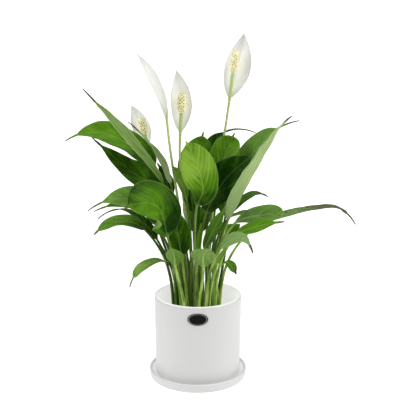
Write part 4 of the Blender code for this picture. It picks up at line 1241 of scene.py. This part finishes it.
def stalk(name, place, neck, top, end, looks, finish):
    """A bloom's stalk: round and faintly ridged, swelling a little under its spadix."""
    leave = unit(top - neck)
    lower = rooted_line(place, neck, leave, STALK_STATIONS)
    higher = arch(neck, top, leave, unit(end - top), np.linspace(0.0, 1.0, 13)[1:])
    points, slopes = (np.vstack(pair) for pair in zip(lower, higher))
    share = walked(points)
    knot = share[STALK_STATIONS + 1] / share[-1]
    share = share / share[-1]
    radii = np.interp(share, (0.0, 0.45, knot - STALK_SWELLING, knot, 1.0),
                      (STALK_FOOT_RADIUS, STALK_MIDDLE_RADIUS, STALK_SLIM_RADIUS,
                       STALK_TOP_RADIUS, STALK_END_RADIUS))
    across, rise = round_section(radii, STALK_SIDES, 0.0)
    turns = np.arange(STALK_SIDES)
    ridge = 1.0 + STALK_RIDGE * np.cos(math.pi * turns)
    rings = on_section(points, slopes, carried_down(slopes, np.array(looks)), across * ridge,
                       rise * ridge)
    skin, faces = closed_skin(rings, points[0], points[-1])
    turn = np.minimum(turns, STALK_SIDES - turns) / STALK_SIDES
    return new_piece(name + "_stem", skin, faces, finish,
                     stalk_place=with_ends(on_rings(rings, turn, share[:, None])))


def spathe(name, neck, top, middle, tip, width, looks, cup, fold, finish):
    """A bloom's spathe: a thin cupped pointed oval behind the stalk and the spadix.

    On top of a leaf's section its edges curl forwards by fold times h |c|^3.5, most near
    its base and its tip, and fine ribs run from its base to its tip.
    """
    looks = np.array(looks)
    angle = math.radians(cup)
    along = unit(top - neck)
    behind = facing(along[None], looks)[0]
    sunk = CUP_SINK * STALK_TOP_RADIUS * math.sin(angle)
    base = neck - behind * (STALK_TOP_RADIUS + TOUCH_GAP + 0.5 * SPATHE_THICKNESS - sunk)
    shares = np.linspace(0.0, 1.0, SPATHE_STATIONS)
    points, slopes = blade_line(base, middle, tip, unit(along + unit(middle - base)), shares)
    halves = 0.5 * width * oval(shares, SPATHE_FULLNESS, SPATHE_WIDEST)
    least = np.linspace(STALK_TOP_RADIUS, 0.5 * LEAF_TIP_WIDTH, len(shares))
    halves, shares = np.maximum(halves, least)[:, None], shares[:, None]
    columns = side_columns(SPATHE_SIDE_POINTS)
    # The section's height: cup, curled edges, flutter and ribs
    left_curl, right_curl, left_grey, right_grey, tip_grey, foot_grey = fold
    cupped = math.sin(angle) * (np.abs(columns)**CUP_POWER - CUP_SINK)
    curl = (np.where(columns < 0.0, left_curl, right_curl) * np.abs(columns)**3.5
            * (0.35 + 0.65 * np.abs(2.0 * shares - 1.0)))
    flutter = waves(np.stack([points[:, 2], points[:, 0]], -1), SPATHE_FLUTTER_LENGTHS,
                    SPATHE_SEED)[:, None]
    rise = halves * (cupped + curl + FLUTTER_HEIGHT * flutter * columns**2)
    phase = np.broadcast_to(SPATHE_RIBS * columns, rise.shape)
    ribs = SPATHE_RIB_HEIGHT * np.cos(2.0 * math.pi * phase) * rising(halves, 0.003, 0.012)
    rise = rise + ribs - SPATHE_MIDRIB_DEPTH * np.exp(-(columns / 0.06)**2)
    thick = 0.5 * SPATHE_THICKNESS * (1.0 - 0.5 * columns**6)
    rings = on_section(points, slopes, facing(slopes, looks),
                       both_faces(halves * columns * math.cos(angle)),
                       np.concatenate([rise + thick, (rise - thick)[:, ::-1]], 1))
    skin, faces = closed_skin(rings, points[0], tip + SPATHE_END * slopes[-1])
    # Painted shade: grey along the edges, at the tip and at the foot
    side_grey = np.where(columns < 0.0, left_grey, right_grey)
    painted_shade = np.maximum(side_grey * rising(np.abs(columns), 0.30, 1.0),
                      tip_grey * rising(shares, 0.66, 1.0))
    painted_shade = np.maximum(painted_shade, foot_grey * falling(shares, 0.05, 0.34))
    place = on_rings(rings, np.concatenate([columns, columns[::-1]]), shares,
                     both_faces(phase) + PATTERN_START)
    return new_piece(name + "_hood", skin, faces, finish, spathe_place=with_ends(place),
                     spathe_tone=with_ends(on_rings(rings, both_faces(painted_shade))))


def spadix(name, top, end, radius, settings, finish):
    """A bloom's spadix: a blunt spike covered with round florets in a diamond pattern.

    With u florets round and v along, its florets stand between whole numbers of u + v and
    v - u, and each rises by relief * (0.5 - 2.2 (d1^2 + d2^2)) at d1 and d2 from its middle
    on those two numbers.
    """
    along = unit(end - top)
    upper = facing(along[None], np.array([0.0, -1.0, 0.0]))[0]
    foot = top + along * TOUCH_GAP
    length = np.linalg.norm(end - foot)
    # Rings stand closer together at the two ends
    share = 0.5 * (1.0 - np.cos(np.linspace(0.0, math.pi, SPADIX_STATIONS)))
    share = 0.6 * share + 0.4 * np.linspace(0.0, 1.0, SPADIX_STATIONS)
    swell = 2.0 * share - 1.0
    radii = radius * (1.0 - np.abs(swell)**SPADIX_BLUNTNESS * (1.0 - SPADIX_END_SHARE))
    radii = radii * np.sqrt(np.clip(1.02 - np.maximum(swell, 0.0)**16, 0.04, 1.0))
    turns = math.pi * (1.0 - (2.0 * np.arange(SPADIX_SIDES) + 1.0) / SPADIX_SIDES)
    pitch = 2.0 * math.pi * radius / settings.florets_round
    u = settings.florets_round * turns[None] / (2.0 * math.pi)
    v = share[:, None] * length / pitch * 1.1
    one, two = u + v, v - u
    off = (one % 1.0 - 0.5)**2 + (two % 1.0 - 0.5)**2
    relief = (settings.floret_relief * (0.5 - 2.2 * off)
              * falling(np.abs(swell), 0.9, 1.0)[:, None])
    reach = radii[:, None] + relief
    points = foot + along * (length * share)[:, None]
    rings = on_section(points, np.broadcast_to(along, points.shape),
                       np.broadcast_to(upper, points.shape),
                       reach * np.cos(turns), reach * np.sin(turns))
    skin, faces = closed_skin(rings, points[0], end)
    place = on_rings(rings, one + PATTERN_START, two + PATTERN_START)
    return new_piece(name + "_spike", skin, faces, finish, floret_place=with_ends(place))


# Stage

def soft_box(name, place, target, width, height, power):
    """A soft rectangular light at place that looks at target."""
    lamp = bpy.data.lights.new(name, "AREA")
    lamp.shape = "RECTANGLE"
    lamp.size, lamp.size_y = width, height
    lamp.energy = power
    light = bpy.data.objects.new(name, lamp)
    light.location = place
    light.rotation_mode = "QUATERNION"
    light.rotation_quaternion = (Vector(target) - Vector(place)).to_track_quat("-Z", "Y")
    light.visible_camera = False
    bpy.context.scene.collection.objects.link(light)


def stage(scene, settings):
    """A pale floor, a round pale wall, three soft boxes, a dim even sky and the camera."""
    rings = turned_rings(np.array([(FLOOR_HUB, 0.0), (FLOOR_RADIUS, 0.0)]))
    points = np.vstack([rings.reshape(-1, 3), (0.0, 0.0, 0.0)]) - (0.0, 0.0, FLOOR_DROP)
    faces = grid_faces(2, TURN_SEGMENTS) + fan_faces(0, TURN_SEGMENTS, 2 * TURN_SEGMENTS, False)
    floor = new_piece("studio_floor", points, [face[::-1] for face in faces],
                      plain_white("studio_floor", settings.floor, FLOOR_GLOW))
    # The wall starts under the floor's edge and bends up in a round cove
    cove = WALL_RADIUS - WALL_BEND
    rings = turned_rings(np.vstack([
        [(FLOOR_RADIUS, 0.0), (cove, 0.0)],
        corner((cove, WALL_BEND), WALL_BEND, -90.0, 0.0, 16), [(WALL_RADIUS, WALL_HEIGHT)]]))
    wall = new_piece("studio_wall", rings.reshape(-1, 3) - (0.0, 0.0, WALL_DROP),
                     [face[::-1] for face in grid_faces(len(rings), TURN_SEGMENTS)],
                     plain_white("studio_wall", settings.floor, WALL_GLOW))
    wall.visible_diffuse = False
    wall.visible_glossy = False
    wall.visible_transmission = False
    wall.visible_shadow = False
    for box in SOFT_BOXES:
        soft_box(*box)
    sky = bpy.data.worlds.new("studio_sky")
    sky.use_nodes = True
    backing = sky.node_tree.nodes["Background"]
    backing.inputs["Color"].default_value = (1.0, 1.0, 1.0, 1.0)
    backing.inputs["Strength"].default_value = SKY_STRENGTH
    scene.world = sky
    scene.view_settings.view_transform = "Standard"
    view = bpy.data.cameras.new("photo_view")
    view.lens = settings.lens
    view.sensor_width = SENSOR_WIDTH
    camera = bpy.data.objects.new("photo_view", view)
    camera.location = (CAMERA_ASIDE, -settings.camera_distance, settings.camera_height)
    camera.rotation_euler = (math.pi / 2.0 - settings.camera_pitch, 0.0, 0.0)
    scene.collection.objects.link(camera)
    scene.camera = camera


# Operators

class StageOperator(bpy.types.Operator):
    """Set up the floor, the backdrop, the lights and the camera"""
    bl_idname = "peace_lily.stage"
    bl_label = "Stage"

    def execute(self, context):
        stage(context.scene, context.scene.lily_stage)
        return {"FINISHED"}


class SaucerOperator(bpy.types.Operator):
    """Build the glazed saucer"""
    bl_idname = "peace_lily.saucer"
    bl_label = "Saucer"

    def execute(self, context):
        piece = saucer(context.scene.lily_pot)
        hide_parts("saucer")
        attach(piece, BODY)
        return {"FINISHED"}


class PotOperator(bpy.types.Operator):
    """Build the glazed pot"""
    bl_idname = "peace_lily.pot"
    bl_label = "Pot"

    def execute(self, context):
        piece = pot(context.scene.lily_pot)
        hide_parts("pot")
        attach(piece, BODY)
        return {"FINISHED"}


class LabelOperator(bpy.types.Operator):
    """Build the plain oval sticker on the pot's front"""
    bl_idname = "peace_lily.label"
    bl_label = "Sticker"

    def execute(self, context):
        piece = label(context.scene.lily_pot)
        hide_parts("label")
        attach(piece, BODY)
        return {"FINISHED"}


class SoilOperator(bpy.types.Operator):
    """Build the potting soil and the perlite in it"""
    bl_idname = "peace_lily.soil"
    bl_label = "Soil"

    def execute(self, context):
        piece = soil(context.scene.lily_pot)
        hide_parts("soil")
        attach(piece, BODY)
        crumbs = perlite()
        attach(crumbs, BODY)
        return {"FINISHED"}


class LeavesOperator(bpy.types.Operator):
    """Build every leaf with its petiole"""
    bl_idname = "peace_lily.leaves"
    bl_label = "Leaves"

    def execute(self, context):
        settings = context.scene.lily_leaves
        finish = leaf_finish(settings)
        for row in LEAVES:
            piece = leaf(row, settings, finish)
            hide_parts(row[0])
            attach(piece, BODY)
        return {"FINISHED"}


class BloomsOperator(bpy.types.Operator):
    """Build every bloom: its stalk, its spathe and its spadix"""
    bl_idname = "peace_lily.blooms"
    bl_label = "Blooms"

    def execute(self, context):
        settings = context.scene.lily_blooms
        green = stalk_finish(settings.stalk)
        white = spathe_finish(settings.white)
        cream = spadix_finish(settings.cream)
        for name, place, *spots, radius, width, looks, cup, fold in BLOOMS:
            neck, top, end, middle, tip = (np.array(spot) * CM for spot in spots)
            pieces = (
                (stalk(name, place, neck, top, end, looks, green), "_stalk", "flower_stalk"),
                (spathe(name, neck, top, middle, tip, width * CM, looks, cup, fold, white),
                 "_spathe", "white_spathe"),
                (spadix(name, top, end, radius * CM, settings, cream), "_spadix",
                 "cream_spadix"))
            for piece, part, slot in pieces:
                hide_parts(name + part)
                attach(piece, BODY)
        return {"FINISHED"}


class LilyPanel(bpy.types.Panel):
    """The sidebar's list of the pieces that can be built"""
    bl_idname = "VIEW3D_PT_peace_lily"
    bl_label = "Peace Lily"
    bl_space_type = "VIEW_3D"
    bl_region_type = "UI"
    bl_category = "Peace Lily"

    def draw(self, context):
        for operator in OPERATORS:
            self.layout.operator(operator.bl_idname)


OPERATORS = (StageOperator, SaucerOperator, PotOperator, LabelOperator, SoilOperator,
             LeavesOperator, BloomsOperator)
SETTINGS = {"lily_pot": PotSettings, "lily_leaves": LeafSettings, "lily_blooms": BloomSettings,
            "lily_stage": StageSettings}


def register():
    """Register the settings, the operators and the panel."""
    for key, group in SETTINGS.items():
        bpy.utils.register_class(group)
        setattr(bpy.types.Scene, key, bpy.props.PointerProperty(type=group))
    for kind in (*OPERATORS, LilyPanel):
        bpy.utils.register_class(kind)


def unregister():
    """Take them all away again."""
    for kind in (LilyPanel, *reversed(OPERATORS)):
        bpy.utils.unregister_class(kind)
    for key, group in SETTINGS.items():
        delattr(bpy.types.Scene, key)
        bpy.utils.unregister_class(group)


def main():
    register()
    bpy.ops.peace_lily.stage()
    bpy.ops.peace_lily.saucer()
    bpy.ops.peace_lily.pot()
    bpy.ops.peace_lily.label()
    bpy.ops.peace_lily.soil()
    bpy.ops.peace_lily.leaves()
    bpy.ops.peace_lily.blooms()


if __name__ == "__main__":
    main()
